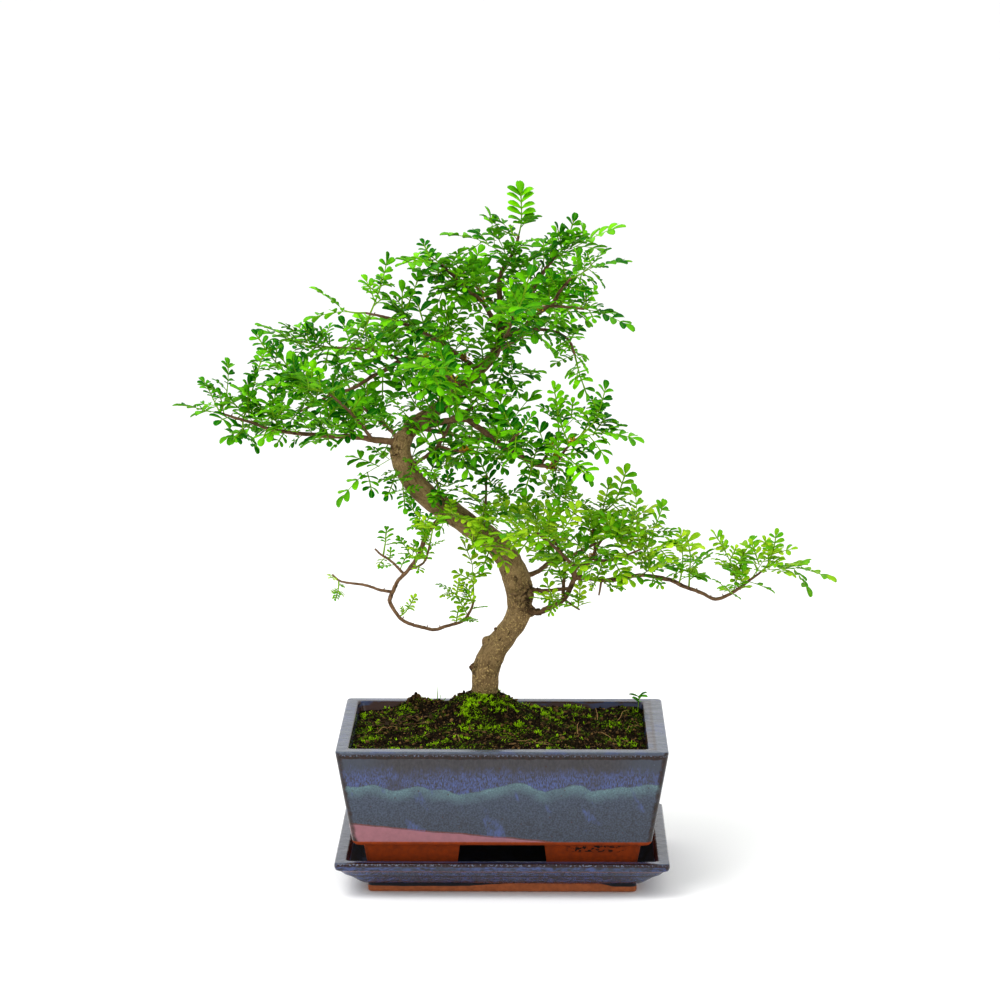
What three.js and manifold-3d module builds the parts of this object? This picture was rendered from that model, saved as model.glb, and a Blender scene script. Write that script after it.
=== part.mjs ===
// Japanese pepper bonsai: an old S-shaped tree in a glazed rectangular pot on its saucer.
// Millimetres, +Z up, the front towards -Y. The origin is the middle of the foot of the box
// round the whole tree, on the surface that the saucer stands on.

import * as THREE from "three";
import { mergeVertices } from "three/addons/utils/BufferGeometryUtils.js";
import Module from "manifold-3d";

const wasm = await Module();
wasm.setup();

// Driving dimensions.
const GAP = 0.3; // clearance between pieces that touch
const BARK_GAP = 0.4; // the same round the bark, whose flats lie closer than its edges
const RIM_HALF_WIDTH = 130; // the pot's rim, half of 260 mm
const WIDTH_OVER_DEPTH = 35; // a half width less this is the half depth, on pot and saucer
const POT_RIM_Z = 119.7;
const POT_BASE_Z = 41.2;
const POT_BASE_HALF_WIDTH = 117;
const RIM_THICKNESS = 13;
const OPENING_SHIFT = -3; // the opening sits a little left, so the left wall is the thinner one
const POT_FLOOR = 8;
const POT_CORNER = 7;
const FOOT_HALF_WIDTH = 110;
const FOOT_TAPER = 5;
const FOOT_RING = 24;
const FRONT_FOOT_GAP = 66;
const SIDE_FOOT_GAP = 48;
const DRAIN_RADIUS = 9;
const DRAIN_X = 55;
const MESH_SIDE = 30;
const MESH_THICKNESS = 1;
const MESH_HOLE = 9;
const MESH_PITCH = 12;

const SAUCER_SHIFT_Y = 5; // the pot stands this much in front of the saucer's middle
const SAUCER_RIM_Z = 29.3;
const SAUCER_RIM_HALF_WIDTH = 131.4;
const SAUCER_RIM_THICKNESS = 9.2;
const SAUCER_FLOOR_Z = 17;
const SAUCER_FLOOR_HALF_WIDTH = 112;
const SAUCER_FOOT_HALF_WIDTH = 106;
const SAUCER_FOOT_HEIGHT = 7.3;
const SAUCER_FOOT_RING = 13;
const SAUCER_RECESS_Z = 10;
const SAUCER_CORNER = 4;

const SOIL_EDGE_Z = 113; // where the soil meets the pot's wall
const TRUNK_X = -15;
const TRUNK_Y = 36;

const TRUNK_SIDES = 9;
const TRUNK_LUMPS = 0.04; // how far the trunk is out of round, as a share of its radius
const LIMB_SIDES = 5;
const TWIG_SIDES = 4;
const TWIG_RADIUS = 2.75; // a branch that starts thinner than this gets fewer sides
const STALK_HALF = 0.8; // half the width and half the height of a stalk at the bark
const LONE_LEAF_STALK = 17; // a stalk shorter than this carries only the leaf at its end
const LEAF_THICKNESS = 0.75;
const SIDE_LEAF_ROOT = 0.4; // how far a side leaf's rib is sunk past the stalk's middle
const RIB_HALF_WIDTH = 0.7;
const RIB_DROOP = 0.14; // how far a leaf's tip droops, as a share of its length
const LEAFLET_LIFT = 0.16; // how much the leaflets rise outwards
const LEAFLETS_END = 0.76; // where the last leaflet starts, as a share of the rib
const LEAFLET_WIDEST = 0.58; // where a leaflet is widest, as a share of its length
const LEAFLET_ROOT_HALF = 0.8;
const LEAF_CLEARANCE = 5.5; // between the sample points of leaves on different sprays
const WOOD_CLEARANCE = 3.2; // between a leaf's sample points and the bark
const LEAF_TRIES = 24;

// The branches, each a row of points [x, y, z, radius] from its root in the parent to its tip.
const LIMBS = {
  trunk: [
    [-15, 36, 102, 9.7], [-15, 36, 122, 11.0], [-15, 35, 140, 10.5], [-14, 34, 157, 11.0],
    [-8, 31, 173, 10.5], [3, 28, 189, 9.3], [11, 25, 202, 9.6], [13, 22, 215, 10.1],
    [12, 19, 230, 11.2], [7, 15, 245, 10.4], [0, 11, 258, 9.6], [-10, 6, 270, 9.4],
    [-26, 1, 281, 8.9], [-40, -3, 292, 9.2], [-55, -6, 302, 8.7], [-69, -8, 316, 9.2],
    [-77, -9, 330, 8.8], [-81, -8, 341, 8.2], [-79, -6, 351, 7.4], [-73, -3, 360, 6.3],
    [-64, 1, 367, 5.7], [-52, 4, 375, 5.2], [-38, 7, 385, 4.9], [-29, 10, 396, 4.6],
    [-16, 12, 407, 4.3], [-7, 14, 417, 4.0], [-3, 14, 428, 3.6], [-3, 14, 439, 3.2],
  ],
  leader: [
    [-3, 14, 437, 2.8], [-3, 15, 451, 2.4], [-3, 16, 463, 2.2], [-3, 16, 476, 1.9],
    [1, 15, 487, 1.7], [8, 13, 498, 1.4], [12, 12, 511, 1.1],
  ],
  top_right: [
    [-3, 14, 434, 2.7], [4, 11, 442, 2.4], [12, 8, 451, 2.1], [20, 6, 462, 1.9],
    [25, 6, 471, 1.7], [33, 8, 485, 1.4], [41, 11, 495, 1.2],
  ],
  crown_left: [
    [-3, 14, 436, 2.2], [-10, 7, 449, 2.0], [-18, 0, 462, 1.7], [-29, -8, 471, 1.6],
    [-37, -15, 481, 1.3], [-48, -22, 492, 1.1],
  ],
  right_up: [
    [-3, 14, 427, 2.5], [5, 6, 433, 2.3], [14, -4, 438, 2.0], [22, -13, 448, 1.9],
    [33, -22, 458, 1.6], [40, -28, 464, 1.5], [44, -32, 472, 1.3], [53, -37, 483, 1.1],
  ],
  right_tail: [[36, -25, 460, 1.2], [49, -31, 460, 1.1], [63, -36, 459, 0.9]],
  right_hang: [
    [14, -4, 438, 1.4], [30, -12, 440, 1.3], [43, -18, 438, 1.1], [52, -22, 432, 1.0],
    [56, -24, 422, 0.9],
  ],
  left_high: [
    [-19, 12, 404, 2.2], [-36, -2, 419, 1.9], [-54, -14, 433, 1.6], [-72, -26, 444, 1.4],
    [-89, -37, 452, 1.2], [-106, -46, 457, 0.9],
  ],
  left_mid: [
    [-33, 9, 391, 2.7], [-47, 16, 403, 2.4], [-66, 23, 413, 2.1], [-81, 28, 410, 2.0],
    [-92, 32, 403, 1.8], [-105, 35, 396, 1.7], [-121, 37, 386, 1.5], [-136, 37, 382, 1.4],
    [-150, 36, 374, 1.2], [-165, 34, 367, 1.0],
  ],
  left_mid_shoot: [
    [-81, 28, 410, 1.4], [-98, 34, 416, 1.2], [-118, 40, 418, 1.0], [-136, 44, 418, 0.9],
  ],
  left_long: [
    [-80, -6, 350, 3.3], [-91, -10, 351, 2.8], [-103, -15, 353, 2.5], [-118, -20, 356, 2.3],
    [-133, -25, 357, 2.0], [-149, -29, 359, 1.8], [-165, -32, 361, 1.6], [-181, -35, 364, 1.5],
    [-196, -38, 370, 1.3], [-209, -40, 374, 1.1], [-220, -42, 378, 0.9],
  ],
  left_cross: [[-115, -19, 356, 1.4], [-126, -12, 368, 1.2], [-142, -4, 378, 0.9]],
  left_front: [
    [-103, -15, 353, 1.5], [-111, -34, 368, 1.2], [-122, -52, 384, 1.1], [-134, -66, 397, 0.8],
  ],
  right_mid: [
    [-72, -2, 359, 3.5], [-58, -8, 364, 3.2], [-42, -13, 368, 2.8], [-29, -18, 370, 2.6],
    [-21, -22, 365, 2.4], [-12, -27, 359, 2.3], [-4, -31, 353, 2.1], [3, -34, 348, 2.0],
    [13, -38, 345, 1.8], [24, -42, 338, 1.7], [33, -45, 337, 1.6], [41, -47, 335, 1.6],
  ],
  right_mid_stub: [[-42, -13, 368, 2.5], [-33, -15, 373, 2.0], [-23, -16, 379, 1.7]],
  right_mid_up: [[30, -44, 338, 1.2], [35, -41, 346, 1.1], [38, -38, 353, 0.9], [44, -34, 361, 0.8]],
  right_mid_out: [[36, -46, 336, 1.2], [44, -51, 344, 1.1], [50, -56, 353, 0.9], [60, -62, 363, 0.8]],
  inner_loop: [
    [-72, -8, 331, 1.7], [-61, -12, 339, 1.5], [-53, -14, 346, 1.3], [-47, -15, 354, 1.3],
    [-42, -14, 365, 1.3],
  ],
  inner_low: [
    [-52, -14, 348, 1.3], [-40, -22, 346, 1.1], [-27, -28, 345, 0.9], [-17, -33, 345, 0.8],
  ],
  upright_a: [[-50, -6, 298, 1.3], [-51, -14, 315, 1.0], [-54, -18, 327, 0.8]],
  upright_b: [[-18, 4, 275, 1.4], [-14, -10, 300, 1.1], [-13, -17, 325, 0.8]],
  knot_branch: [
    [15, 20, 214, 3.2], [27, 13, 209, 2.7], [38, 5, 215, 2.4], [48, -4, 223, 2.2],
    [53, -9, 232, 2.1], [56, -12, 241, 2.0], [58, -16, 251, 1.8], [66, -18, 254, 1.7],
    [71, -20, 260, 1.5], [73, -22, 267, 1.3], [78, -24, 275, 1.1],
  ],
  knot_strut: [[15, 19, 226, 2.1], [33, 6, 228, 1.8], [45, -4, 231, 1.6], [54, -9, 233, 1.4]],
  knot_riser: [
    [48, -4, 223, 1.5], [48, -2, 234, 1.4], [49, 2, 246, 1.2], [48, 6, 255, 1.0],
    [40, 10, 269, 0.8],
  ],
  right_long: [
    [56, -12, 242, 2.1], [67, -12, 242, 2.0], [80, -13, 240, 1.9], [94, -15, 242, 1.8],
    [108, -17, 245, 1.7], [126, -19, 243, 1.7], [135, -20, 241, 1.7], [143, -21, 237, 1.6],
    [157, -22, 232, 1.5], [168, -22, 227, 1.4], [179, -22, 231, 1.3], [187, -21, 236, 1.2],
    [194, -19, 241, 1.1], [206, -15, 249, 0.8],
  ],
  right_long_drop: [[78, -13, 240, 1.0], [77, -13, 234, 0.9], [76, -13, 228, 0.7]],
  knot_twig: [[48, -4, 223, 1.1], [56, -6, 218, 0.9], [61, -7, 215, 0.7]],
  pad_left_front: [[58, -16, 251, 1.4], [51, -26, 259, 1.3], [40, -38, 272, 1.1], [27, -50, 285, 0.9]],
  pad_up: [[73, -22, 267, 1.3], [71, -18, 281, 1.1], [77, -13, 294, 0.9]],
  pad_right: [[70, -20, 259, 1.3], [81, -28, 259, 1.1], [92, -36, 263, 0.9], [108, -45, 271, 0.8]],
  pad_back: [
    [16, 20, 236, 2.2], [28, 31, 239, 2.0], [37, 41, 244, 1.8], [47, 52, 245, 1.5],
    [60, 64, 248, 1.3], [76, 76, 254, 1.0],
  ],
  pad_back_left: [[37, 41, 244, 1.4], [28, 55, 254, 1.1], [16, 68, 267, 0.9]],
  loop: [
    [-40, -4, 291, 2.5], [-49, -14, 289, 2.3], [-57, -21, 283, 2.1], [-62, -25, 274, 2.0],
    [-66, -28, 263, 1.9], [-75, -32, 251, 1.8], [-82, -34, 244, 1.7], [-86, -35, 236, 1.7],
    [-89, -35, 228, 1.7], [-86, -34, 221, 1.6], [-81, -31, 213, 1.5], [-74, -28, 208, 1.4],
    [-64, -23, 204, 1.4], [-54, -18, 201, 1.3], [-45, -14, 203, 1.3], [-32, -8, 206, 1.1],
    [-26, -6, 214, 1.0], [-23, -5, 222, 0.8],
  ],
  loop_left: [
    [-88, -35, 235, 1.3], [-96, -39, 237, 1.2], [-108, -44, 242, 1.1], [-126, -50, 246, 0.9],
    [-133, -52, 252, 0.7],
  ],
  loop_up: [[-78, -32, 249, 1.1], [-88, -27, 258, 0.9], [-96, -22, 262, 0.8], [-101, -18, 266, 0.7]],
  loop_front: [[-74, -31, 252, 1.1], [-65, -40, 257, 0.9], [-60, -46, 263, 0.8], [-57, -51, 275, 0.7]],
  back_high: [
    [-5, 14, 420, 2.2], [4, 36, 422, 1.9], [15, 60, 426, 1.6], [28, 83, 430, 1.3],
    [39, 102, 436, 0.9],
  ],
  back_left: [
    [-35, 8, 388, 2.2], [-38, 32, 392, 1.9], [-45, 60, 398, 1.6], [-55, 87, 404, 1.3],
    [-63, 110, 410, 0.9],
  ],
  back_low_left: [
    [-80, -7, 346, 2.2], [-87, 20, 352, 1.9], [-99, 48, 358, 1.6], [-111, 76, 362, 1.3],
    [-123, 100, 366, 0.9],
  ],
  back_mid: [
    [-71, -1, 360, 2.2], [-57, 26, 354, 1.9], [-39, 52, 346, 1.6], [-21, 78, 339, 1.3],
    [-3, 100, 334, 0.9],
  ],
  front_high: [
    [-6, 13, 420, 2.1], [-1, -12, 429, 1.7], [4, -40, 441, 1.4], [7, -66, 452, 1.1],
    [9, -88, 463, 0.8],
  ],
  front_mid: [
    [-35, 8, 387, 2.1], [-34, -18, 394, 1.7], [-38, -46, 403, 1.4], [-43, -74, 412, 1.1],
    [-49, -98, 419, 0.8],
  ],
  front_low: [[3, -34, 348, 1.4], [8, -58, 360, 1.2], [15, -82, 371, 0.8]],
  back_top: [[-3, 15, 450, 1.6], [-12, 34, 459, 1.4], [-24, 52, 468, 1.1], [-34, 68, 478, 0.8]],
  root_stub: [[-14, 34, 157, 4.0], [-22, 33, 158, 2.4], [-26, 32, 161, 2.4]],
  trunk_knob: [[-5, 30, 179, 6.0], [-13, 29, 181, 5.4], [-16, 28, 182, 3.6]],
  trunk_snag: [[2, 28, 190, 2.4], [-5, 27, 191, 1.5], [-7, 26, 193, 1.4]],
};

// The leafy sprays: branch, place along it, heading, rise, stalk length, leaf length and leaf pairs.
const SPRAYS = [
  ["leader", 1, 0, 74, 8, 36, 4],
  ["leader", 0.5, 320, 30, 26, 36, 2],
  ["leader", 0.78, 190, 30, 26, 34, 2],
  ["top_right", 1, 358, 26, 24, 38, 3],
  ["top_right", 0.5, 300, 25, 24, 36, 2],
  ["top_right", 0.75, 80, 30, 22, 34, 2],
  ["crown_left", 1, 215, 18, 10, 34, 3],
  ["crown_left", 0.5, 250, 35, 26, 36, 2],
  ["right_up", 1, 8, 28, 16, 34, 3],
  ["right_up", 0.5, 240, 10, 26, 34, 2],
  ["right_tail", 1, 356, -8, 10, 34, 3],
  ["right_hang", 1, 300, -66, 14, 26, 2],
  ["left_high", 1, 184, 6, 14, 36, 2],
  ["left_high", 0.5, 225, 35, 24, 34, 2],
  ["left_mid", 1, 185, -14, 26, 36, 3],
  ["left_mid", 0.68, 110, 25, 24, 36, 2],
  ["left_mid", 0.27, 235, 40, 22, 34, 2],
  ["left_mid_shoot", 1, 180, 8, 30, 38, 2],
  ["left_mid_shoot", 0.45, 110, 35, 22, 34, 2],
  ["left_long", 1, 178, 6, 8, 30, 3],
  ["left_long", 0.78, 150, 38, 24, 34, 2],
  ["left_long", 0.62, 205, 42, 26, 36, 2],
  ["left_long", 0.42, 262, 30, 24, 36, 2],
  ["left_cross", 1, 165, 38, 24, 36, 2],
  ["left_front", 1, 200, 15, 22, 36, 2],
  ["right_mid", 0.55, 60, 35, 26, 36, 2],
  ["right_mid_up", 1, 30, 45, 16, 32, 2],
  ["right_mid_out", 1, 345, 14, 18, 34, 3],
  ["right_mid_out", 0.5, 290, -10, 22, 32, 2],
  ["right_mid_stub", 0.8, 290, 35, 26, 34, 2],
  ["inner_low", 1, 300, 10, 20, 34, 2],
  ["trunk", 0.63, 205, -24, 32, 36, 2],
  ["upright_a", 1, 40, 40, 16, 30, 2],
  ["upright_b", 1, 20, 55, 16, 30, 2],
  ["knot_branch", 1, 350, 35, 20, 34, 2],
  ["knot_riser", 1, 150, 35, 20, 32, 2],
  ["right_long", 0.3, 300, 22, 24, 34, 2],
  ["right_long", 0.56, 80, 55, 24, 32, 2],
  ["right_long", 0.8, 60, 62, 22, 32, 2],
  ["right_long", 1, 0, 6, 24, 36, 3],
  ["right_long", 0.94, 330, 60, 14, 28, 2],
  ["pad_left_front", 1, 195, 6, 20, 34, 2],
  ["pad_up", 1, 50, 22, 12, 28, 2],
  ["pad_right", 1, 350, 8, 20, 34, 2],
  ["pad_back", 1, 45, 12, 24, 34, 2],
  ["pad_back_left", 1, 135, 25, 22, 34, 2],
  ["loop", 1, 95, 76, 26, 26, 2],
  ["loop_up", 0.6, 70, 62, 10, 20, 2],
  ["loop_front", 1, 285, 60, 16, 28, 2],
  ["back_high", 1, 70, 10, 24, 36, 2],
  ["back_left", 1, 110, 12, 24, 36, 2],
  ["front_high", 1, 285, 15, 22, 36, 2],
  ["front_mid", 1, 250, 10, 22, 36, 2],
  ["back_mid", 1, 75, -4, 24, 36, 2],
];

const YOUNG_LIMBS = /^(knot|right_long|pad|loop|upright)/; // their leaves are a lighter green

const UP = new THREE.Vector3(0, 0, 1);

// A seeded draw between 0 and 1.
function seededDraw(seed) {
  let state = seed >>> 0;
  const draw = () => {
    state = (Math.imul(state, 1664525) + 1013904223) >>> 0;
    return state / 4294967296;
  };
  for (let skipped = 0; skipped < 4; skipped += 1) draw();
  return draw;
}

// A closed geometry through loops of points, each loop anticlockwise seen against the way they run.
function skin(loops) {
  const count = loops[0].length;
  const positions = [];
  const index = [];
  for (const loop of loops) {
    for (const point of loop) positions.push(point.x, point.y, point.z);
  }
  for (let row = 0; row < loops.length - 1; row += 1) {
    for (let i = 0; i < count; i += 1) {
      const a = row * count + i;
      const b = row * count + ((i + 1) % count);
      index.push(a, b, b + count, a, b + count, a + count);
    }
  }
  const last = (loops.length - 1) * count;
  for (let i = 1; i < count - 1; i += 1) {
    index.push(0, i + 1, i);
    index.push(last, last + i, last + i + 1);
  }
  const geometry = new THREE.BufferGeometry();
  geometry.setAttribute("position", new THREE.Float32BufferAttribute(positions, 3));
  geometry.setIndex(index);
  return geometry;
}

function toSolid(geometry) {
  const bare = geometry.clone();
  bare.deleteAttribute("normal");
  bare.deleteAttribute("uv");
  const merged = mergeVertices(bare, 1e-4);
  return new wasm.Manifold(
    new wasm.Mesh({
      numProp: 3,
      vertProperties: merged.attributes.position.array,
      triVerts: new Uint32Array(merged.index.array),
    }),
  );
}

function toGeometry(solid) {
  const mesh = solid.getMesh();
  const geometry = new THREE.BufferGeometry();
  geometry.setAttribute("position", new THREE.Float32BufferAttribute(mesh.vertProperties, 3));
  geometry.setIndex(new THREE.Uint32BufferAttribute(mesh.triVerts, 1));
  geometry.computeVertexNormals();
  return geometry;
}

// The largest body of a solid: a loose scrap that a cut leaves is dropped.
function largestBody(solid) {
  return solid.decompose().reduce((best, body) => (body.volume() > best.volume() ? body : best));
}

function join(solids) {
  return solids.reduce((whole, piece) => whole.add(piece));
}

// A rectangle with round corners at height z, its half depth tied to its half width.
function roundedLoop(halfWidth, z, corner, shiftX = 0, shiftY = 0, steps = 2) {
  const halfDepth = halfWidth - WIDTH_OVER_DEPTH;
  const loop = [];
  for (let quarter = 0; quarter < 4; quarter += 1) {
    const cornerX = (quarter === 0 || quarter === 3 ? 1 : -1) * (halfWidth - corner);
    const cornerY = (quarter < 2 ? 1 : -1) * (halfDepth - corner);
    for (let step = 0; step <= steps; step += 1) {
      const angle = (Math.PI / 2) * (quarter + step / steps);
      loop.push(
        new THREE.Vector3(
          shiftX + cornerX + corner * Math.cos(angle),
          shiftY + cornerY + corner * Math.sin(angle),
          z,
        ),
      );
    }
  }
  return loop;
}

function box(width, depth, height, x, y, z) {
  return toSolid(new THREE.BoxGeometry(width, depth, height).translate(x, y, z));
}

function buildSaucer() {
  const y = SAUCER_SHIFT_Y;
  const foot = SAUCER_FOOT_HALF_WIDTH;
  const rim = SAUCER_RIM_HALF_WIDTH;
  const outside = skin([
    roundedLoop(foot, 0, SAUCER_CORNER, 0, y),
    roundedLoop(foot + 0.6, SAUCER_FOOT_HEIGHT, SAUCER_CORNER, 0, y),
    roundedLoop(foot + 8, SAUCER_FOOT_HEIGHT + 0.3, SAUCER_CORNER, 0, y),
    roundedLoop(foot + 11, SAUCER_FOOT_HEIGHT + 2.6, SAUCER_CORNER, 0, y),
    roundedLoop(rim - 5, SAUCER_RIM_Z - 7, SAUCER_CORNER, 0, y),
    roundedLoop(rim - 1, SAUCER_RIM_Z - 5.8, SAUCER_CORNER, 0, y),
    roundedLoop(rim, SAUCER_RIM_Z - 1.2, SAUCER_CORNER, 0, y),
    roundedLoop(rim - 1, SAUCER_RIM_Z, SAUCER_CORNER, 0, y),
  ]);
  const basin = skin([
    roundedLoop(SAUCER_FLOOR_HALF_WIDTH, SAUCER_FLOOR_Z, SAUCER_CORNER, 0, y),
    roundedLoop(rim - SAUCER_RIM_THICKNESS, SAUCER_RIM_Z + 1, SAUCER_CORNER, 0, y),
  ]);
  const recess = skin([
    roundedLoop(foot - SAUCER_FOOT_RING, -1, SAUCER_CORNER, 0, y),
    roundedLoop(foot - SAUCER_FOOT_RING - 2, SAUCER_RECESS_Z, SAUCER_CORNER, 0, y),
  ]);
  return toSolid(outside).subtract(toSolid(basin)).subtract(toSolid(recess));
}

function potCavity(shrink, topZ) {
  const floorZ = POT_BASE_Z + POT_FLOOR;
  const floor = POT_BASE_HALF_WIDTH - RIM_THICKNESS - shrink;
  const rim = RIM_HALF_WIDTH - RIM_THICKNESS - shrink;
  const loopAt = (z) => {
    const share = (z - floorZ) / (POT_RIM_Z - floorZ);
    return roundedLoop(floor + share * (rim - floor), z, POT_CORNER, OPENING_SHIFT * share);
  };
  return skin([loopAt(floorZ + shrink), loopAt(topZ)]);
}

function buildPot() {
  const base = POT_BASE_HALF_WIDTH;
  const body = toSolid(
    skin([
      roundedLoop(base - 5, POT_BASE_Z, POT_CORNER),
      roundedLoop(base - 1, POT_BASE_Z + 1.6, POT_CORNER),
      roundedLoop(base + 0.8, POT_BASE_Z + 5, POT_CORNER),
      roundedLoop(RIM_HALF_WIDTH - 0.4, POT_RIM_Z - 4, POT_CORNER),
      roundedLoop(RIM_HALF_WIDTH, POT_RIM_Z - 1.4, POT_CORNER),
      roundedLoop(RIM_HALF_WIDTH - 1.2, POT_RIM_Z, POT_CORNER),
    ]),
  );
  const footZ = SAUCER_FLOOR_Z + GAP;
  const footRing = toSolid(
    skin([
      roundedLoop(FOOT_HALF_WIDTH - FOOT_TAPER, footZ, POT_CORNER),
      roundedLoop(FOOT_HALF_WIDTH, POT_BASE_Z + 3, POT_CORNER),
    ]),
  );
  const under = toSolid(
    skin([
      roundedLoop(FOOT_HALF_WIDTH - FOOT_RING, footZ - 1, POT_CORNER),
      roundedLoop(FOOT_HALF_WIDTH - FOOT_RING, POT_BASE_Z, POT_CORNER),
    ]),
  );
  const slotHeight = POT_BASE_Z - footZ + 1;
  const slotZ = POT_BASE_Z - slotHeight / 2;
  const throughSlot = box(FRONT_FOOT_GAP, 4 * RIM_HALF_WIDTH, slotHeight, 0, 0, slotZ);
  const sideSlot = box(4 * RIM_HALF_WIDTH, SIDE_FOOT_GAP, slotHeight, 0, 0, slotZ);
  const feet = footRing.subtract(under).subtract(throughSlot).subtract(sideSlot);
  let pot = body.add(feet).subtract(toSolid(potCavity(0, POT_RIM_Z + 1)));
  for (const side of [-1, 1]) {
    const drain = new THREE.CylinderGeometry(DRAIN_RADIUS, DRAIN_RADIUS, 6 * POT_FLOOR, 16);
    drain.rotateX(Math.PI / 2).translate(side * DRAIN_X, 0, POT_BASE_Z);
    pot = pot.subtract(toSolid(drain));
  }
  return pot;
}

function buildDrainMesh(side) {
  const z = POT_BASE_Z + POT_FLOOR + GAP + MESH_THICKNESS / 2;
  let mesh = box(MESH_SIDE, MESH_SIDE, MESH_THICKNESS, side * DRAIN_X, 0, z);
  for (const column of [-0.5, 0.5]) {
    for (const row of [-0.5, 0.5]) {
      const x = side * DRAIN_X + column * MESH_PITCH;
      mesh = mesh.subtract(box(MESH_HOLE, MESH_HOLE, 4 * MESH_THICKNESS, x, row * MESH_PITCH, z));
    }
  }
  return mesh;
}

// The soil's surface: low at the walls, mounded round the trunk, with a clod at the back left.
function soilHeight(x, y) {
  const bump = (cx, cy, spread, height) =>
    height * Math.exp(-((x - cx) ** 2 + (y - cy) ** 2) / (2 * spread ** 2));
  const crown = 3 * (1 - (x / 118) ** 2) * (1 - (y / 84) ** 2);
  const ripple = 1.1 * Math.sin(x / 7.3 + 0.6) * Math.cos(y / 6.1) + 0.8 * Math.sin(x / 17 + y / 12);
  return (
    SOIL_EDGE_Z + crown + ripple + bump(TRUNK_X, TRUNK_Y - 2, 26, 17) + bump(-72, 70, 9, 9)
    + bump(-50, 62, 16, 4)
  );
}

function buildSoil(trunkHole) {
  const filling = toSolid(potCavity(GAP, POT_RIM_Z + 40));
  const slab = new THREE.BoxGeometry(2 * RIM_HALF_WIDTH, 190, 200, 15, 9, 1);
  const position = slab.attributes.position;
  for (let i = 0; i < position.count; i += 1) {
    const top = position.getZ(i) > 0;
    position.setZ(i, top ? soilHeight(position.getX(i), position.getY(i)) : 0);
  }
  let soil = filling.intersect(toSolid(slab));
  for (const side of [-1, 1]) {
    const pocket = MESH_SIDE + 2 * GAP;
    const height = 2 * (MESH_THICKNESS + 2 * GAP);
    soil = soil.subtract(box(pocket, pocket, height, side * DRAIN_X, 0, POT_BASE_Z + POT_FLOOR));
  }
  return largestBody(soil.subtract(trunkHole));
}

// A round bar through points [x, y, z, radius], its rings square to the way it runs. It can be
// grown all round and past its end.
function bar(points, sides, grow = 0, lumps = 0) {
  const places = points.map(([x, y, z]) => new THREE.Vector3(x, y, z));
  const tip = places[places.length - 1];
  tip.addScaledVector(tip.clone().sub(places[places.length - 2]).normalize(), grow);
  const loops = [];
  let across = new THREE.Vector3(1, 0.3, 0.2).normalize();
  for (let i = 0; i < places.length; i += 1) {
    const before = places[Math.max(i - 1, 0)];
    const after = places[Math.min(i + 1, places.length - 1)];
    const onward = after.clone().sub(before).normalize();
    across = squareTo(across, onward);
    const beside = onward.clone().cross(across);
    const loop = [];
    for (let side = 0; side < sides; side += 1) {
      const angle = (2 * Math.PI * side) / sides;
      const lump = 1 + lumps * Math.sin(3 * angle + i * 1.7) + lumps * Math.sin(5 * angle - i);
      const radius = (points[i][3] + grow) * lump;
      loop.push(
        places[i]
          .clone()
          .addScaledVector(across, radius * Math.cos(angle))
          .addScaledVector(beside, radius * Math.sin(angle)),
      );
    }
    loops.push(loop);
  }
  return toSolid(skin(loops));
}

function buildWood(grow) {
  const bars = Object.entries(LIMBS).map(([name, points]) => {
    if (name === "trunk") return bar(points, TRUNK_SIDES, grow, TRUNK_LUMPS);
    return bar(points, points[0][3] < TWIG_RADIUS ? TWIG_SIDES : LIMB_SIDES, grow);
  });
  return join(bars);
}

// The point at a share of the way along a branch.
function along(points, share) {
  const scaled = share * (points.length - 1);
  const i = Math.min(Math.floor(scaled), points.length - 2);
  return new THREE.Vector3(...points[i]).lerp(new THREE.Vector3(...points[i + 1]), scaled - i);
}

function direction(heading, rise) {
  const a = THREE.MathUtils.degToRad(heading);
  const e = THREE.MathUtils.degToRad(rise);
  return new THREE.Vector3(Math.cos(a) * Math.cos(e), Math.sin(a) * Math.cos(e), Math.sin(e));
}

// The part of a direction that stands square to another one.
function squareTo(vector, axis) {
  return vector.clone().addScaledVector(axis, -vector.dot(axis)).normalize();
}

// A leaf's frame: where it starts, the way it points, its face and its side.
function leafFrame(base, way, tilt) {
  const leaning = Math.abs(way.z) > 0.8 ? new THREE.Vector3(0.5, -0.8, 0.3) : UP;
  const face = squareTo(leaning, way).applyAxisAngle(way, tilt);
  return { base, way, face, side: face.clone().cross(way) };
}

// A point of a leaf, s along its rib and w to the side: the rib droops and the leaflets lift.
function leafPoint(frame, length, s, w) {
  const lift = LEAFLET_LIFT * Math.abs(w) - (RIB_DROOP * s * s) / length;
  return frame.base
    .clone()
    .addScaledVector(frame.way, s)
    .addScaledVector(frame.side, w)
    .addScaledVector(frame.face, lift);
}

// The leaflets of a leaf: where each starts on the rib, which way it points and how long it is.
function leafletsOf(length, pairs) {
  const spacing = (0.74 * length) / (pairs + 0.5);
  const leaflets = [];
  for (let pair = 0; pair < pairs; pair += 1) {
    const size = length * (0.42 - 0.03 * pairs);
    const half = Math.min(0.26 * size, 0.38 * spacing);
    leaflets.push({ s: spacing * (pair + 0.9), size, half, angle: 1.12 - (0.2 * pair) / pairs });
  }
  return leaflets;
}

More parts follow.
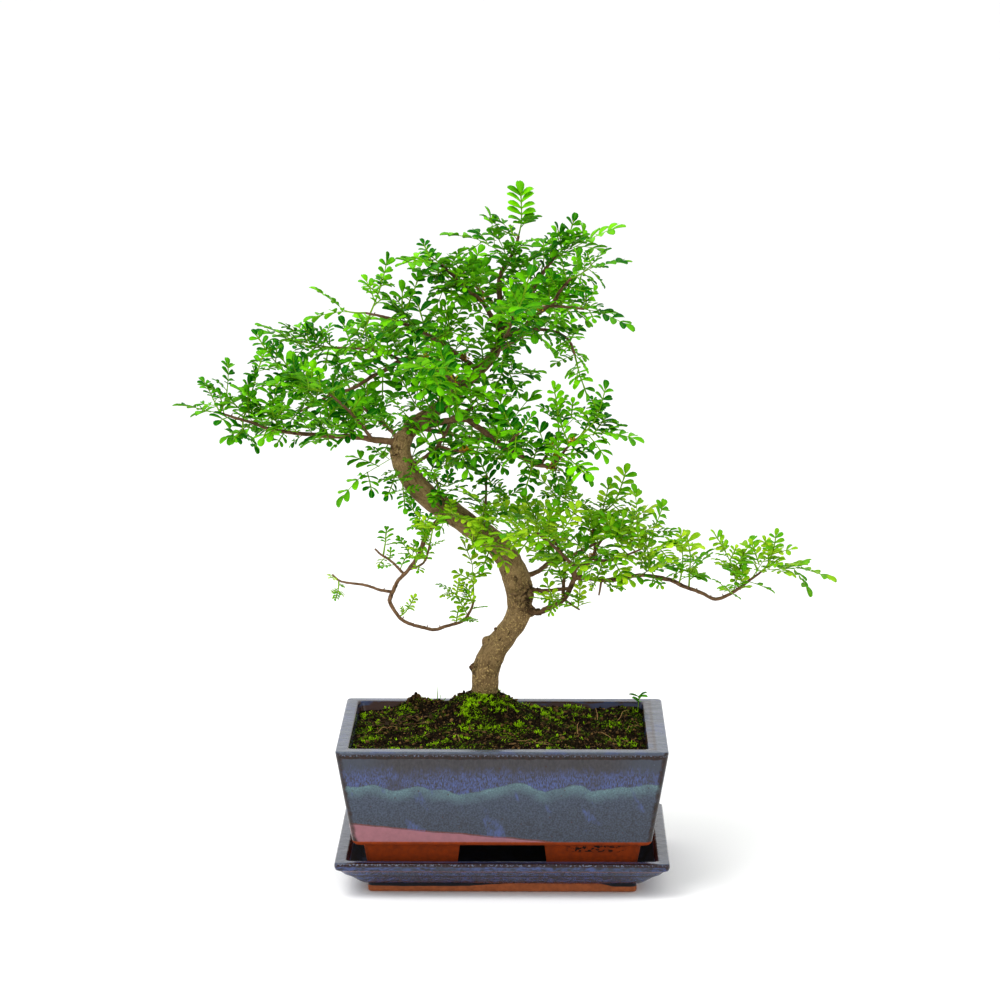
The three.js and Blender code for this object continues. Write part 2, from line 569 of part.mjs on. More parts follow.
// The outline of a leaf with its leaflets cut to the rib, from its foot round to its foot again.
function leafOutline(length, pairs) {
  const rightSide = [[0, RIB_HALF_WIDTH]];
  for (const { s, size, half, angle } of leafletsOf(length, pairs)) {
    const out = [Math.cos(angle), Math.sin(angle)];
    const forward = [Math.sin(angle), -Math.cos(angle)];
    const at = (reach, aside) => [
      s + out[0] * reach + forward[0] * aside,
      RIB_HALF_WIDTH + out[1] * reach + forward[1] * aside,
    ];
    const widest = LEAFLET_WIDEST * size;
    rightSide.push([s - LEAFLET_ROOT_HALF, RIB_HALF_WIDTH], at(widest, -half), at(size, 0));
    rightSide.push(at(widest, half), [s + LEAFLET_ROOT_HALF, RIB_HALF_WIDTH]);
  }
  const start = LEAFLETS_END * length;
  rightSide.push([start, RIB_HALF_WIDTH], [start + 0.14 * length, 0.085 * length]);
  const leftSide = rightSide.map(([s, w]) => [s, -w]).reverse();
  return [...rightSide, [length, 0], ...leftSide];
}

// The triangles of a leaf's upper face: the rib in strips, each leaflet as a fan from the rib.
function leafFaces(pairs) {
  const tip = 3 + 5 * pairs;
  const mirrored = (i) => 2 * tip - i;
  const stations = [0];
  const faces = [];
  const both = (a, b, c) => {
    faces.push([a, b, c], [mirrored(c), mirrored(b), mirrored(a)]);
  };
  for (let pair = 0; pair < pairs; pair += 1) {
    const before = 1 + 5 * pair;
    stations.push(before, before + 4);
    both(before, before + 1, before + 2);
    both(before, before + 2, before + 3);
    both(before, before + 3, before + 4);
  }
  stations.push(1 + 5 * pairs);
  for (let i = 0; i < stations.length - 1; i += 1) {
    const [a, b] = [stations[i], stations[i + 1]];
    faces.push([a, b, mirrored(b)], [a, mirrored(b), mirrored(a)]);
  }
  both(tip - 2, tip - 1, tip);
  faces.push([tip - 2, tip, tip + 2]);
  return faces;
}

// A leaf as one thin arched plate: the same triangles above and below, and its edge between.
// A leaf with a foot has its rib drawn back to there as a stouter square stalk.
function leafPlate({ frame, length, pairs, foot }) {
  const outline = leafOutline(length, pairs);
  const count = outline.length;
  const positions = [];
  for (const level of [0.5, -0.5]) {
    for (const [s, w] of outline) {
      const atFoot = foot && s === 0;
      const point = atFoot ? foot.clone() : leafPoint(frame, length, s, w);
      if (atFoot) point.addScaledVector(frame.side, Math.sign(w) * STALK_HALF);
      const thickness = atFoot ? 2 * STALK_HALF : LEAF_THICKNESS;
      point.addScaledVector(frame.face, level * thickness);
      positions.push(point.x, point.y, point.z);
    }
  }
  const index = [];
  for (const [a, b, c] of leafFaces(pairs)) {
    index.push(a, c, b, a + count, b + count, c + count);
  }
  for (let i = 0; i < count; i += 1) {
    const next = (i + 1) % count;
    index.push(i, next, next + count, i, next + count, i + count);
  }
  const geometry = new THREE.BufferGeometry();
  geometry.setAttribute("position", new THREE.Float32BufferAttribute(positions, 3));
  geometry.setIndex(index);
  return toSolid(geometry);
}

// Points on a leaf that keep it clear of other sprays and of the wood.
function leafSamples(frame, length, pairs) {
  const samples = [0.3, 0.55, 0.8, 1].map((share) => leafPoint(frame, length, share * length, 0));
  for (const { s, size, angle } of leafletsOf(length, pairs)) {
    for (const reach of [0.5, 1]) {
      for (const hand of [-1, 1]) {
        const w = hand * (RIB_HALF_WIDTH + Math.sin(angle) * reach * size);
        samples.push(leafPoint(frame, length, s + Math.cos(angle) * reach * size, w));
      }
    }
  }
  return samples;
}

const woodSegments = Object.values(LIMBS).flatMap((points) =>
  points.slice(1).map((end, i) => ({
    line: new THREE.Line3(new THREE.Vector3(...points[i]), new THREE.Vector3(...end)),
    radius: Math.max(points[i][3], end[3]),
  })),
);

function clearOfWood(samples) {
  const nearest = new THREE.Vector3();
  return samples.every((sample) =>
    woodSegments.every(({ line, radius }) => {
      line.closestPointToPoint(sample, true, nearest);
      return nearest.distanceTo(sample) > radius + WOOD_CLEARANCE;
    }),
  );
}

function clearOfLeaves(samples, taken) {
  return samples.every((sample) => taken.every((other) => other.distanceTo(sample) > LEAF_CLEARANCE));
}

// Each spray: a stalk that ends in a leaf and, if it is long, carries another at its side.
function placeSprays() {
  const taken = [];
  return SPRAYS.map(([limbName, share, heading, rise, stalk, leafLength, pairs], number) => {
    const draw = seededDraw(977 * (number + 1));
    const way = direction(heading, rise);
    const foot = along(LIMBS[limbName], share);
    const end = foot.clone().addScaledVector(way, stalk);
    const outward = squareTo(Math.abs(way.z) > 0.8 ? new THREE.Vector3(1, 0, 0) : UP, way);
    const beside = way.clone().cross(outward);
    const samples = [foot.clone().lerp(end, 0.5), end];
    const leaves = [];
    for (const kind of stalk < LONE_LEAF_STALK ? ["end"] : ["end", "side"]) {
      for (let attempt = 0; attempt < LEAF_TRIES; attempt += 1) {
        const [turn, lift, tilt] = [draw() - 0.5, draw() - 0.5, draw() - 0.5];
        const hand = draw() < 0.5 ? -1 : 1;
        const leafWay = way.clone();
        const base = end.clone();
        if (kind === "end") {
          leafWay.addScaledVector(beside, 0.7 * turn).addScaledVector(outward, 0.7 * lift);
        } else {
          const rib = leafPoint(leaves[0].frame, leaves[0].length, 0.2 * leaves[0].length, 0);
          leafWay.multiplyScalar(0.5).addScaledVector(beside, hand);
          leafWay.addScaledVector(outward, 0.35 + 0.7 * turn).normalize();
          base.copy(foot).lerp(rib, 0.5 + 0.2 * lift).addScaledVector(leafWay, -SIDE_LEAF_ROOT);
        }
        const leaf = {
          frame: leafFrame(base, leafWay.normalize(), 0.9 * tilt),
          length: leafLength * (kind === "end" ? 1 : 0.9),
          pairs,
          foot: kind === "end" ? foot : null,
        };
        const points = leafSamples(leaf.frame, leaf.length, pairs);
        if (clearOfWood(points) && clearOfLeaves(points, taken)) {
          leaves.push(leaf);
          samples.push(...points);
          break;
        }
      }
      if (leaves.length === 0) throw new Error(`no clear place for the end leaf on ${limbName}`);
    }
    taken.push(...samples);
    return leaves;
  });
}

const glaze = { color: 0x4a5a78, roughness: 0.25, metalness: 0 };
const bark = { color: 0x8a7560, roughness: 0.85, metalness: 0 };
const earth = { color: 0x2e2118, roughness: 0.95, metalness: 0 };
const plastic = { color: 0x1c1c1c, roughness: 0.6, metalness: 0 };
const leaf = { color: 0x2f8a1e, roughness: 0.45, metalness: 0 };
const youngLeaf = { color: 0x74b83a, roughness: 0.5, metalness: 0 };

const tree = new THREE.Group();

function addPiece(name, solid, finish) {
  const mesh = new THREE.Mesh(toGeometry(solid), new THREE.MeshStandardMaterial(finish));
  mesh.name = name;
  tree.add(mesh);
}

addPiece("saucer", buildSaucer(), glaze);
addPiece("pot", buildPot(), glaze);
addPiece("drain_mesh_left", buildDrainMesh(-1), plastic);
addPiece("drain_mesh_right", buildDrainMesh(1), plastic);
const trunkFoot = LIMBS.trunk.slice(0, 4).map(([x, y, z, radius], i) => [x, y, i ? z : z - GAP, radius]);
addPiece("soil", buildSoil(bar(trunkFoot, TRUNK_SIDES, GAP, TRUNK_LUMPS)), earth);
addPiece("wood", buildWood(0), bark);
const woodWithGap = buildWood(BARK_GAP);
placeSprays().forEach((leaves, number) => {
  const label = String(number + 1).padStart(2, "0");
  const green = join(leaves.map(leafPlate)).subtract(woodWithGap);
  const young = YOUNG_LIMBS.test(SPRAYS[number][0]);
  addPiece(`spray_${label}`, largestBody(green), young ? youngLeaf : leaf);
});

// The origin goes to the middle of the foot of the box round the whole tree.
tree.updateMatrixWorld(true);
const around = new THREE.Box3().setFromObject(tree);
tree.position.set(
  -(around.min.x + around.max.x) / 2,
  -(around.min.y + around.max.y) / 2,
  -around.min.z,
);

export default tree;
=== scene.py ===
"""Looks of the japanese pepper bonsai: glazed pot and saucer, mossy soil, bark and fine leaves.

Lengths in the tables are millimetres from the middle of the pot, with the table top at zero, as in
the part's source. Meshes and settings are in metres.
"""

import math
import re

import bpy
import numpy as np
from bpy.props import FloatProperty, FloatVectorProperty, IntProperty, PointerProperty
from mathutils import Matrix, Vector, noise


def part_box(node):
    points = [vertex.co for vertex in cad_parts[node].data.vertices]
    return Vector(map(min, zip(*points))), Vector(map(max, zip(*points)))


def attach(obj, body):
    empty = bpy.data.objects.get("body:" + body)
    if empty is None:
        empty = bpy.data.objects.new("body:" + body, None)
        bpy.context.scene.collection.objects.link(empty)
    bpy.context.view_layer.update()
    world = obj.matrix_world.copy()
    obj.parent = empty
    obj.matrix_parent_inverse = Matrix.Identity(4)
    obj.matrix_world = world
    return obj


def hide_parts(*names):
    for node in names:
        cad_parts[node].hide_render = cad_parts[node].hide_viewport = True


bl_info = {
    "name": "Japanese pepper bonsai",
    "version": (1, 0, 0),
    "blender": (4, 5, 0),
    "location": "View3D > Sidebar > Bonsai",
    "description": "Dresses the bonsai's frame with glaze, soil, moss, bark and leaves",
    "category": "Object",
}

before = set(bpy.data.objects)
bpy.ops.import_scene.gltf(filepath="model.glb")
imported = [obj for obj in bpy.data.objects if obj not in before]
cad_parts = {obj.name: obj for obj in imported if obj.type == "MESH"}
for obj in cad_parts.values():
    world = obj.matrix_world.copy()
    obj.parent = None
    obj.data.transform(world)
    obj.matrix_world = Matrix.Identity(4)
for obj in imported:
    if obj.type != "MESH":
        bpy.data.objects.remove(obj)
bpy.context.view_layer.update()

MM = 0.001
POT_LOW, POT_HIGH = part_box("pot")
SAUCER_LOW, SAUCER_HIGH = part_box("saucer")
MIDDLE = (POT_LOW + POT_HIGH) / 2
RIM_HALF = (POT_HIGH.x - POT_LOW.x) / 2
NARROWER = (POT_HIGH.x - POT_LOW.x - POT_HIGH.y + POT_LOW.y) / 2  # a half width less its half depth
POT_RIM_Z = POT_HIGH.z

# The same places and rules as in the part's source. Those without MM are in millimetres.
POT_BASE_Z = 41.2 * MM
POT_BASE_HALF = 117 * MM
FOOT_Z = 17.3 * MM
WALL = 13
FLOOR = 8
OPENING_SHIFT = -3
SOIL_EDGE_Z = 113
TRUNK_X = -15
TRUNK_Y = 36
RIB_HALF_WIDTH = 0.7
RIB_DROOP = 0.14
LEAFLET_LIFT = 0.16
LEAFLETS_END = 0.76
SIDE_LEAF_ROOT = 0.4
LONE_LEAF_STALK = 17
LEAF_CLEARANCE = 5.5
WOOD_CLEARANCE = 3.2
LEAF_TRIES = 24
YOUNG_LIMBS = re.compile("knot|right_long|pad|loop|upright")
UP = np.array([0.0, 0.0, 1.0])

# The branches, each a row of points (x, y, z, radius) from its root in the parent to its tip.
LIMBS = {
    "trunk": [
        (-15, 36, 102, 9.7), (-15, 36, 122, 11), (-15, 35, 140, 10.5), (-14, 34, 157, 11),
        (-8, 31, 173, 10.5), (3, 28, 189, 9.3), (11, 25, 202, 9.6), (13, 22, 215, 10.1),
        (12, 19, 230, 11.2), (7, 15, 245, 10.4), (0, 11, 258, 9.6), (-10, 6, 270, 9.4), (-26, 1, 281, 8.9),
        (-40, -3, 292, 9.2), (-55, -6, 302, 8.7), (-69, -8, 316, 9.2), (-77, -9, 330, 8.8),
        (-81, -8, 341, 8.2), (-79, -6, 351, 7.4), (-73, -3, 360, 6.3), (-64, 1, 367, 5.7),
        (-52, 4, 375, 5.2), (-38, 7, 385, 4.9), (-29, 10, 396, 4.6), (-16, 12, 407, 4.3), (-7, 14, 417, 4),
        (-3, 14, 428, 3.6), (-3, 14, 439, 3.2),
    ],
    "leader": [
        (-3, 14, 437, 2.8), (-3, 15, 451, 2.4), (-3, 16, 463, 2.2), (-3, 16, 476, 1.9), (1, 15, 487, 1.7),
        (8, 13, 498, 1.4), (12, 12, 511, 1.1),
    ],
    "top_right": [
        (-3, 14, 434, 2.7), (4, 11, 442, 2.4), (12, 8, 451, 2.1), (20, 6, 462, 1.9), (25, 6, 471, 1.7),
        (33, 8, 485, 1.4), (41, 11, 495, 1.2),
    ],
    "crown_left": [
        (-3, 14, 436, 2.2), (-10, 7, 449, 2), (-18, 0, 462, 1.7), (-29, -8, 471, 1.6),
        (-37, -15, 481, 1.3), (-48, -22, 492, 1.1),
    ],
    "right_up": [
        (-3, 14, 427, 2.5), (5, 6, 433, 2.3), (14, -4, 438, 2), (22, -13, 448, 1.9), (33, -22, 458, 1.6),
        (40, -28, 464, 1.5), (44, -32, 472, 1.3), (53, -37, 483, 1.1),
    ],
    "right_tail": [(36, -25, 460, 1.2), (49, -31, 460, 1.1), (63, -36, 459, 0.9)],
    "right_hang": [
        (14, -4, 438, 1.4), (30, -12, 440, 1.3), (43, -18, 438, 1.1), (52, -22, 432, 1),
        (56, -24, 422, 0.9),
    ],
    "left_high": [
        (-19, 12, 404, 2.2), (-36, -2, 419, 1.9), (-54, -14, 433, 1.6), (-72, -26, 444, 1.4),
        (-89, -37, 452, 1.2), (-106, -46, 457, 0.9),
    ],
    "left_mid": [
        (-33, 9, 391, 2.7), (-47, 16, 403, 2.4), (-66, 23, 413, 2.1), (-81, 28, 410, 2),
        (-92, 32, 403, 1.8), (-105, 35, 396, 1.7), (-121, 37, 386, 1.5), (-136, 37, 382, 1.4),
        (-150, 36, 374, 1.2), (-165, 34, 367, 1),
    ],
    "left_mid_shoot": [(-81, 28, 410, 1.4), (-98, 34, 416, 1.2), (-118, 40, 418, 1), (-136, 44, 418, 0.9)],
    "left_long": [
        (-80, -6, 350, 3.3), (-91, -10, 351, 2.8), (-103, -15, 353, 2.5), (-118, -20, 356, 2.3),
        (-133, -25, 357, 2), (-149, -29, 359, 1.8), (-165, -32, 361, 1.6), (-181, -35, 364, 1.5),
        (-196, -38, 370, 1.3), (-209, -40, 374, 1.1), (-220, -42, 378, 0.9),
    ],
    "left_cross": [(-115, -19, 356, 1.4), (-126, -12, 368, 1.2), (-142, -4, 378, 0.9)],
    "left_front": [
        (-103, -15, 353, 1.5), (-111, -34, 368, 1.2), (-122, -52, 384, 1.1), (-134, -66, 397, 0.8),
    ],
    "right_mid": [
        (-72, -2, 359, 3.5), (-58, -8, 364, 3.2), (-42, -13, 368, 2.8), (-29, -18, 370, 2.6),
        (-21, -22, 365, 2.4), (-12, -27, 359, 2.3), (-4, -31, 353, 2.1), (3, -34, 348, 2),
        (13, -38, 345, 1.8), (24, -42, 338, 1.7), (33, -45, 337, 1.6), (41, -47, 335, 1.6),
    ],
    "right_mid_stub": [(-42, -13, 368, 2.5), (-33, -15, 373, 2), (-23, -16, 379, 1.7)],
    "right_mid_up": [(30, -44, 338, 1.2), (35, -41, 346, 1.1), (38, -38, 353, 0.9), (44, -34, 361, 0.8)],
    "right_mid_out": [(36, -46, 336, 1.2), (44, -51, 344, 1.1), (50, -56, 353, 0.9), (60, -62, 363, 0.8)],
    "inner_loop": [
        (-72, -8, 331, 1.7), (-61, -12, 339, 1.5), (-53, -14, 346, 1.3), (-47, -15, 354, 1.3),
        (-42, -14, 365, 1.3),
    ],
    "inner_low": [(-52, -14, 348, 1.3), (-40, -22, 346, 1.1), (-27, -28, 345, 0.9), (-17, -33, 345, 0.8)],
    "upright_a": [(-50, -6, 298, 1.3), (-51, -14, 315, 1), (-54, -18, 327, 0.8)],
    "upright_b": [(-18, 4, 275, 1.4), (-14, -10, 300, 1.1), (-13, -17, 325, 0.8)],
    "knot_branch": [
        (15, 20, 214, 3.2), (27, 13, 209, 2.7), (38, 5, 215, 2.4), (48, -4, 223, 2.2), (53, -9, 232, 2.1),
        (56, -12, 241, 2), (58, -16, 251, 1.8), (66, -18, 254, 1.7), (71, -20, 260, 1.5),
        (73, -22, 267, 1.3), (78, -24, 275, 1.1),
    ],
    "knot_strut": [(15, 19, 226, 2.1), (33, 6, 228, 1.8), (45, -4, 231, 1.6), (54, -9, 233, 1.4)],
    "knot_riser": [
        (48, -4, 223, 1.5), (48, -2, 234, 1.4), (49, 2, 246, 1.2), (48, 6, 255, 1), (40, 10, 269, 0.8),
    ],
    "right_long": [
        (56, -12, 242, 2.1), (67, -12, 242, 2), (80, -13, 240, 1.9), (94, -15, 242, 1.8),
        (108, -17, 245, 1.7), (126, -19, 243, 1.7), (135, -20, 241, 1.7), (143, -21, 237, 1.6),
        (157, -22, 232, 1.5), (168, -22, 227, 1.4), (179, -22, 231, 1.3), (187, -21, 236, 1.2),
        (194, -19, 241, 1.1), (206, -15, 249, 0.8),
    ],
    "right_long_drop": [(78, -13, 240, 1), (77, -13, 234, 0.9), (76, -13, 228, 0.7)],
    "knot_twig": [(48, -4, 223, 1.1), (56, -6, 218, 0.9), (61, -7, 215, 0.7)],
    "pad_left_front": [(58, -16, 251, 1.4), (51, -26, 259, 1.3), (40, -38, 272, 1.1), (27, -50, 285, 0.9)],
    "pad_up": [(73, -22, 267, 1.3), (71, -18, 281, 1.1), (77, -13, 294, 0.9)],
    "pad_right": [(70, -20, 259, 1.3), (81, -28, 259, 1.1), (92, -36, 263, 0.9), (108, -45, 271, 0.8)],
    "pad_back": [
        (16, 20, 236, 2.2), (28, 31, 239, 2), (37, 41, 244, 1.8), (47, 52, 245, 1.5), (60, 64, 248, 1.3),
        (76, 76, 254, 1),
    ],
    "pad_back_left": [(37, 41, 244, 1.4), (28, 55, 254, 1.1), (16, 68, 267, 0.9)],
    "loop": [
        (-40, -4, 291, 2.5), (-49, -14, 289, 2.3), (-57, -21, 283, 2.1), (-62, -25, 274, 2),
        (-66, -28, 263, 1.9), (-75, -32, 251, 1.8), (-82, -34, 244, 1.7), (-86, -35, 236, 1.7),
        (-89, -35, 228, 1.7), (-86, -34, 221, 1.6), (-81, -31, 213, 1.5), (-74, -28, 208, 1.4),
        (-64, -23, 204, 1.4), (-54, -18, 201, 1.3), (-45, -14, 203, 1.3), (-32, -8, 206, 1.1),
        (-26, -6, 214, 1), (-23, -5, 222, 0.8),
    ],
    "loop_left": [
        (-88, -35, 235, 1.3), (-96, -39, 237, 1.2), (-108, -44, 242, 1.1), (-126, -50, 246, 0.9),
        (-133, -52, 252, 0.7),
    ],
    "loop_up": [(-78, -32, 249, 1.1), (-88, -27, 258, 0.9), (-96, -22, 262, 0.8), (-101, -18, 266, 0.7)],
    "loop_front": [(-74, -31, 252, 1.1), (-65, -40, 257, 0.9), (-60, -46, 263, 0.8), (-57, -51, 275, 0.7)],
    "back_high": [
        (-5, 14, 420, 2.2), (4, 36, 422, 1.9), (15, 60, 426, 1.6), (28, 83, 430, 1.3), (39, 102, 436, 0.9),
    ],
    "back_left": [
        (-35, 8, 388, 2.2), (-38, 32, 392, 1.9), (-45, 60, 398, 1.6), (-55, 87, 404, 1.3),
        (-63, 110, 410, 0.9),
    ],
    "back_low_left": [
        (-80, -7, 346, 2.2), (-87, 20, 352, 1.9), (-99, 48, 358, 1.6), (-111, 76, 362, 1.3),
        (-123, 100, 366, 0.9),
    ],
    "back_mid": [
        (-71, -1, 360, 2.2), (-57, 26, 354, 1.9), (-39, 52, 346, 1.6), (-21, 78, 339, 1.3),
        (-3, 100, 334, 0.9),
    ],
    "front_high": [
        (-6, 13, 420, 2.1), (-1, -12, 429, 1.7), (4, -40, 441, 1.4), (7, -66, 452, 1.1),
        (9, -88, 463, 0.8),
    ],
    "front_mid": [
        (-35, 8, 387, 2.1), (-34, -18, 394, 1.7), (-38, -46, 403, 1.4), (-43, -74, 412, 1.1),
        (-49, -98, 419, 0.8),
    ],
    "front_low": [(3, -34, 348, 1.4), (8, -58, 360, 1.2), (15, -82, 371, 0.8)],
    "back_top": [(-3, 15, 450, 1.6), (-12, 34, 459, 1.4), (-24, 52, 468, 1.1), (-34, 68, 478, 0.8)],
    "root_stub": [(-14, 34, 157, 4), (-22, 33, 158, 2.4), (-26, 32, 161, 2.4)],
    "trunk_knob": [(-5, 30, 179, 6), (-13, 29, 181, 5.4), (-16, 28, 182, 3.6)],
    "trunk_snag": [(2, 28, 190, 2.4), (-5, 27, 191, 1.5), (-7, 26, 193, 1.4)],
}

# The leafy sprays: branch, place along it, heading, rise, stalk length, leaf length and leaf pairs.
SPRAYS = [
    ("leader", 1, 0, 74, 8, 36, 4), ("leader", 0.5, 320, 30, 26, 36, 2),
    ("leader", 0.78, 190, 30, 26, 34, 2), ("top_right", 1, 358, 26, 24, 38, 3),
    ("top_right", 0.5, 300, 25, 24, 36, 2), ("top_right", 0.75, 80, 30, 22, 34, 2),
    ("crown_left", 1, 215, 18, 10, 34, 3), ("crown_left", 0.5, 250, 35, 26, 36, 2),
    ("right_up", 1, 8, 28, 16, 34, 3), ("right_up", 0.5, 240, 10, 26, 34, 2),
    ("right_tail", 1, 356, -8, 10, 34, 3), ("right_hang", 1, 300, -66, 14, 26, 2),
    ("left_high", 1, 184, 6, 14, 36, 2), ("left_high", 0.5, 225, 35, 24, 34, 2),
    ("left_mid", 1, 185, -14, 26, 36, 3), ("left_mid", 0.68, 110, 25, 24, 36, 2),
    ("left_mid", 0.27, 235, 40, 22, 34, 2), ("left_mid_shoot", 1, 180, 8, 30, 38, 2),
    ("left_mid_shoot", 0.45, 110, 35, 22, 34, 2), ("left_long", 1, 178, 6, 8, 30, 3),
    ("left_long", 0.78, 150, 38, 24, 34, 2), ("left_long", 0.62, 205, 42, 26, 36, 2),
    ("left_long", 0.42, 262, 30, 24, 36, 2), ("left_cross", 1, 165, 38, 24, 36, 2),
    ("left_front", 1, 200, 15, 22, 36, 2), ("right_mid", 0.55, 60, 35, 26, 36, 2),
    ("right_mid_up", 1, 30, 45, 16, 32, 2), ("right_mid_out", 1, 345, 14, 18, 34, 3),
    ("right_mid_out", 0.5, 290, -10, 22, 32, 2), ("right_mid_stub", 0.8, 290, 35, 26, 34, 2),
    ("inner_low", 1, 300, 10, 20, 34, 2), ("trunk", 0.63, 205, -24, 32, 36, 2),
    ("upright_a", 1, 40, 40, 16, 30, 2), ("upright_b", 1, 20, 55, 16, 30, 2),
    ("knot_branch", 1, 350, 35, 20, 34, 2), ("knot_riser", 1, 150, 35, 20, 32, 2),
    ("right_long", 0.3, 300, 22, 24, 34, 2), ("right_long", 0.56, 80, 55, 24, 32, 2),
    ("right_long", 0.8, 60, 62, 22, 32, 2), ("right_long", 1, 0, 6, 24, 36, 3),
    ("right_long", 0.94, 330, 60, 14, 28, 2), ("pad_left_front", 1, 195, 6, 20, 34, 2),
    ("pad_up", 1, 50, 22, 12, 28, 2), ("pad_right", 1, 350, 8, 20, 34, 2),
    ("pad_back", 1, 45, 12, 24, 34, 2), ("pad_back_left", 1, 135, 25, 22, 34, 2),
    ("loop", 1, 95, 76, 26, 26, 2), ("loop_up", 0.6, 70, 62, 10, 20, 2),
    ("loop_front", 1, 285, 60, 16, 28, 2), ("back_high", 1, 70, 10, 24, 36, 2),
    ("back_left", 1, 110, 12, 24, 36, 2), ("front_high", 1, 285, 15, 22, 36, 2),
    ("front_mid", 1, 250, 10, 22, 36, 2), ("back_mid", 1, 75, -4, 24, 36, 2),
]

# The leaves that grow straight from the branches, by region: branch, from and to which share of
# its length, the distance between leaves, and the leaf length.
FOLIAGE = {
    "leaves_crown": [
        ("leader", 0.1, 1, 4.3, 31), ("top_right", 0.2, 1, 4.7, 31), ("crown_left", 0.2, 1, 4.7, 31),
        ("right_up", 0.25, 1, 4.7, 30), ("right_tail", 0.1, 1, 6.2, 24), ("right_hang", 0.2, 1, 6.2, 22),
        ("left_high", 0.2, 1, 5.1, 31), ("trunk", 0.8, 1, 5.5, 31),
    ],
    "leaves_left": [
        ("left_mid", 0.25, 1, 5.1, 31), ("left_mid_shoot", 0.1, 1, 6.2, 29),
        ("left_long", 0.25, 1, 5.5, 29), ("left_cross", 0.2, 1, 5.5, 29), ("left_front", 0.2, 1, 5.5, 29),
    ],
    "leaves_middle": [
        ("right_mid", 0.3, 1, 5.5, 29), ("right_mid_stub", 0.3, 1, 7, 28),
        ("right_mid_up", 0.1, 1, 5.5, 28), ("right_mid_out", 0.1, 1, 5.5, 28),
        ("inner_loop", 0.4, 1, 7.8, 26), ("inner_low", 0.2, 1, 7, 26), ("upright_a", 0.2, 1, 7, 24),
        ("upright_b", 0.3, 1, 7, 24), ("trunk", 0.6, 0.66, 7, 29),
    ],
    "leaves_right": [
        ("knot_branch", 0.45, 1, 5.5, 28), ("knot_riser", 0.2, 1, 5.5, 26),
        ("right_long", 0.1, 0.52, 7, 26), ("right_long", 0.76, 1, 7, 24),
        ("pad_left_front", 0.1, 1, 4.7, 28), ("pad_up", 0.1, 1, 5.1, 26), ("pad_right", 0.1, 1, 5.1, 28),
        ("pad_back", 0.35, 1, 5.5, 28), ("pad_back_left", 0.1, 1, 5.5, 28),
    ],
    "leaves_loop": [
        ("loop", 0.86, 1, 4.7, 18), ("loop_up", 0.1, 1, 4.7, 17), ("loop_front", 0.2, 1, 5.1, 20),
        ("loop_left", 0.94, 1, 3.9, 12),
    ],
    "leaves_back": [
        ("back_high", 0.25, 1, 5.5, 31), ("back_left", 0.25, 1, 5.5, 31),
        ("back_low_left", 0.25, 1, 5.5, 31), ("back_mid", 0.25, 1, 5.5, 31), ("back_top", 0.2, 1, 5.5, 29),
    ],
    "leaves_front": [
        ("front_high", 0.3, 1, 5.9, 29), ("front_mid", 0.3, 1, 5.9, 29), ("front_low", 0.3, 1, 6.2, 28),
    ],
}

# Gaps that stay open between the pads of leaves, seen from the front: x, z and radius.
GAPS = [
    (-124, 462, 12), (-108, 465, 8), (-172, 444, 9), (-148, 443, 7), (66, 317, 10), (-9, 330, 8),
    (-20, 543, 8), (68, 533, 7), (-113, 338, 9), (-214, 406, 7), (21, 416, 8), (-36, 268, 8),
    (-140, 330, 7), (-100, 452, 6), (88, 318, 8), (10, 306, 7), (-191, 442, 8), (-198, 432, 7),
    (-235, 394, 8), (-216, 344, 8), (-175, 343, 8), (-129, 334, 8), (-148, 469, 7), (-93, 497, 7),
    (-18, 517, 6), (-42, 513, 6), (68, 537, 9), (92, 492, 7), (85, 395, 8), (102, 353, 6), (108, 312, 7),
    (128, 300, 8), (148, 274, 6), (117, 228, 7), (90, 209, 8), (185, 224, 6), (49, 414, 6), (-98, 270, 6),
    (-160, 452, 6), (-136, 454, 6),
]

# Patches of moss on the soil: x, y, radius and number of tufts.
MOSS = [
    (-24, 12, 9, 60), (-20, 20, 8, 60), (-29, 19, 7, 40), (-27, -12, 9, 26), (-16, -12, 6, 16),
    (-33, -36, 7, 14), (-4, 14, 8, 34), (2, 24, 8, 26), (19, 56, 9, 26), (33, 52, 9, 20), (58, 74, 10, 22),
    (30, 39, 5, 14), (13, -4, 3.5, 16), (-108, -27, 6, 26), (-100, -30, 4, 14), (-83, 56, 6, 14),
    (-98, 70, 7, 14), (-63, 66, 9, 26), (-47, -45, 7, 22), (-56, -47, 6, 14), (29, -21, 4, 12),
    (101, -49, 5, 14), (95, -21, 4, 12), (68, 35, 4, 9), (89, 16, 6, 12), (108, 66, 5, 14),
    (47, 35, 14, 36), (-90, 34, 4, 6), (-112, 50, 5, 12), (-4, -11, 2.5, 6), (-78, -2, 3, 6),
    (-35, 12, 6, 22), (-62, 7, 5, 9), (10, 62, 6, 14), (-108, 5, 6, 8), (-5, 52, 10, 26), (-38, 58, 8, 18),
    (80, -62, 7, 12), (30, -60, 8, 10), (-85, -62, 6, 10),
]

# Little bead-like flower buds: the branch and the share of its length at which a cluster sits.
BUDS = [
    ("crown_left", 0.35), ("crown_left", 0.12), ("top_right", 0.45), ("left_high", 0.15),
    ("right_mid_out", 0.3), ("right_mid_out", 0.8), ("right_mid", 0.98), ("trunk", 0.86),
    ("left_mid", 0.2), ("knot_branch", 0.8), ("pad_up", 0.4), ("right_up", 0.55), ("front_mid", 0.5),
    ("back_high", 0.5), ("inner_low", 0.6), ("right_mid_up", 0.6),
]

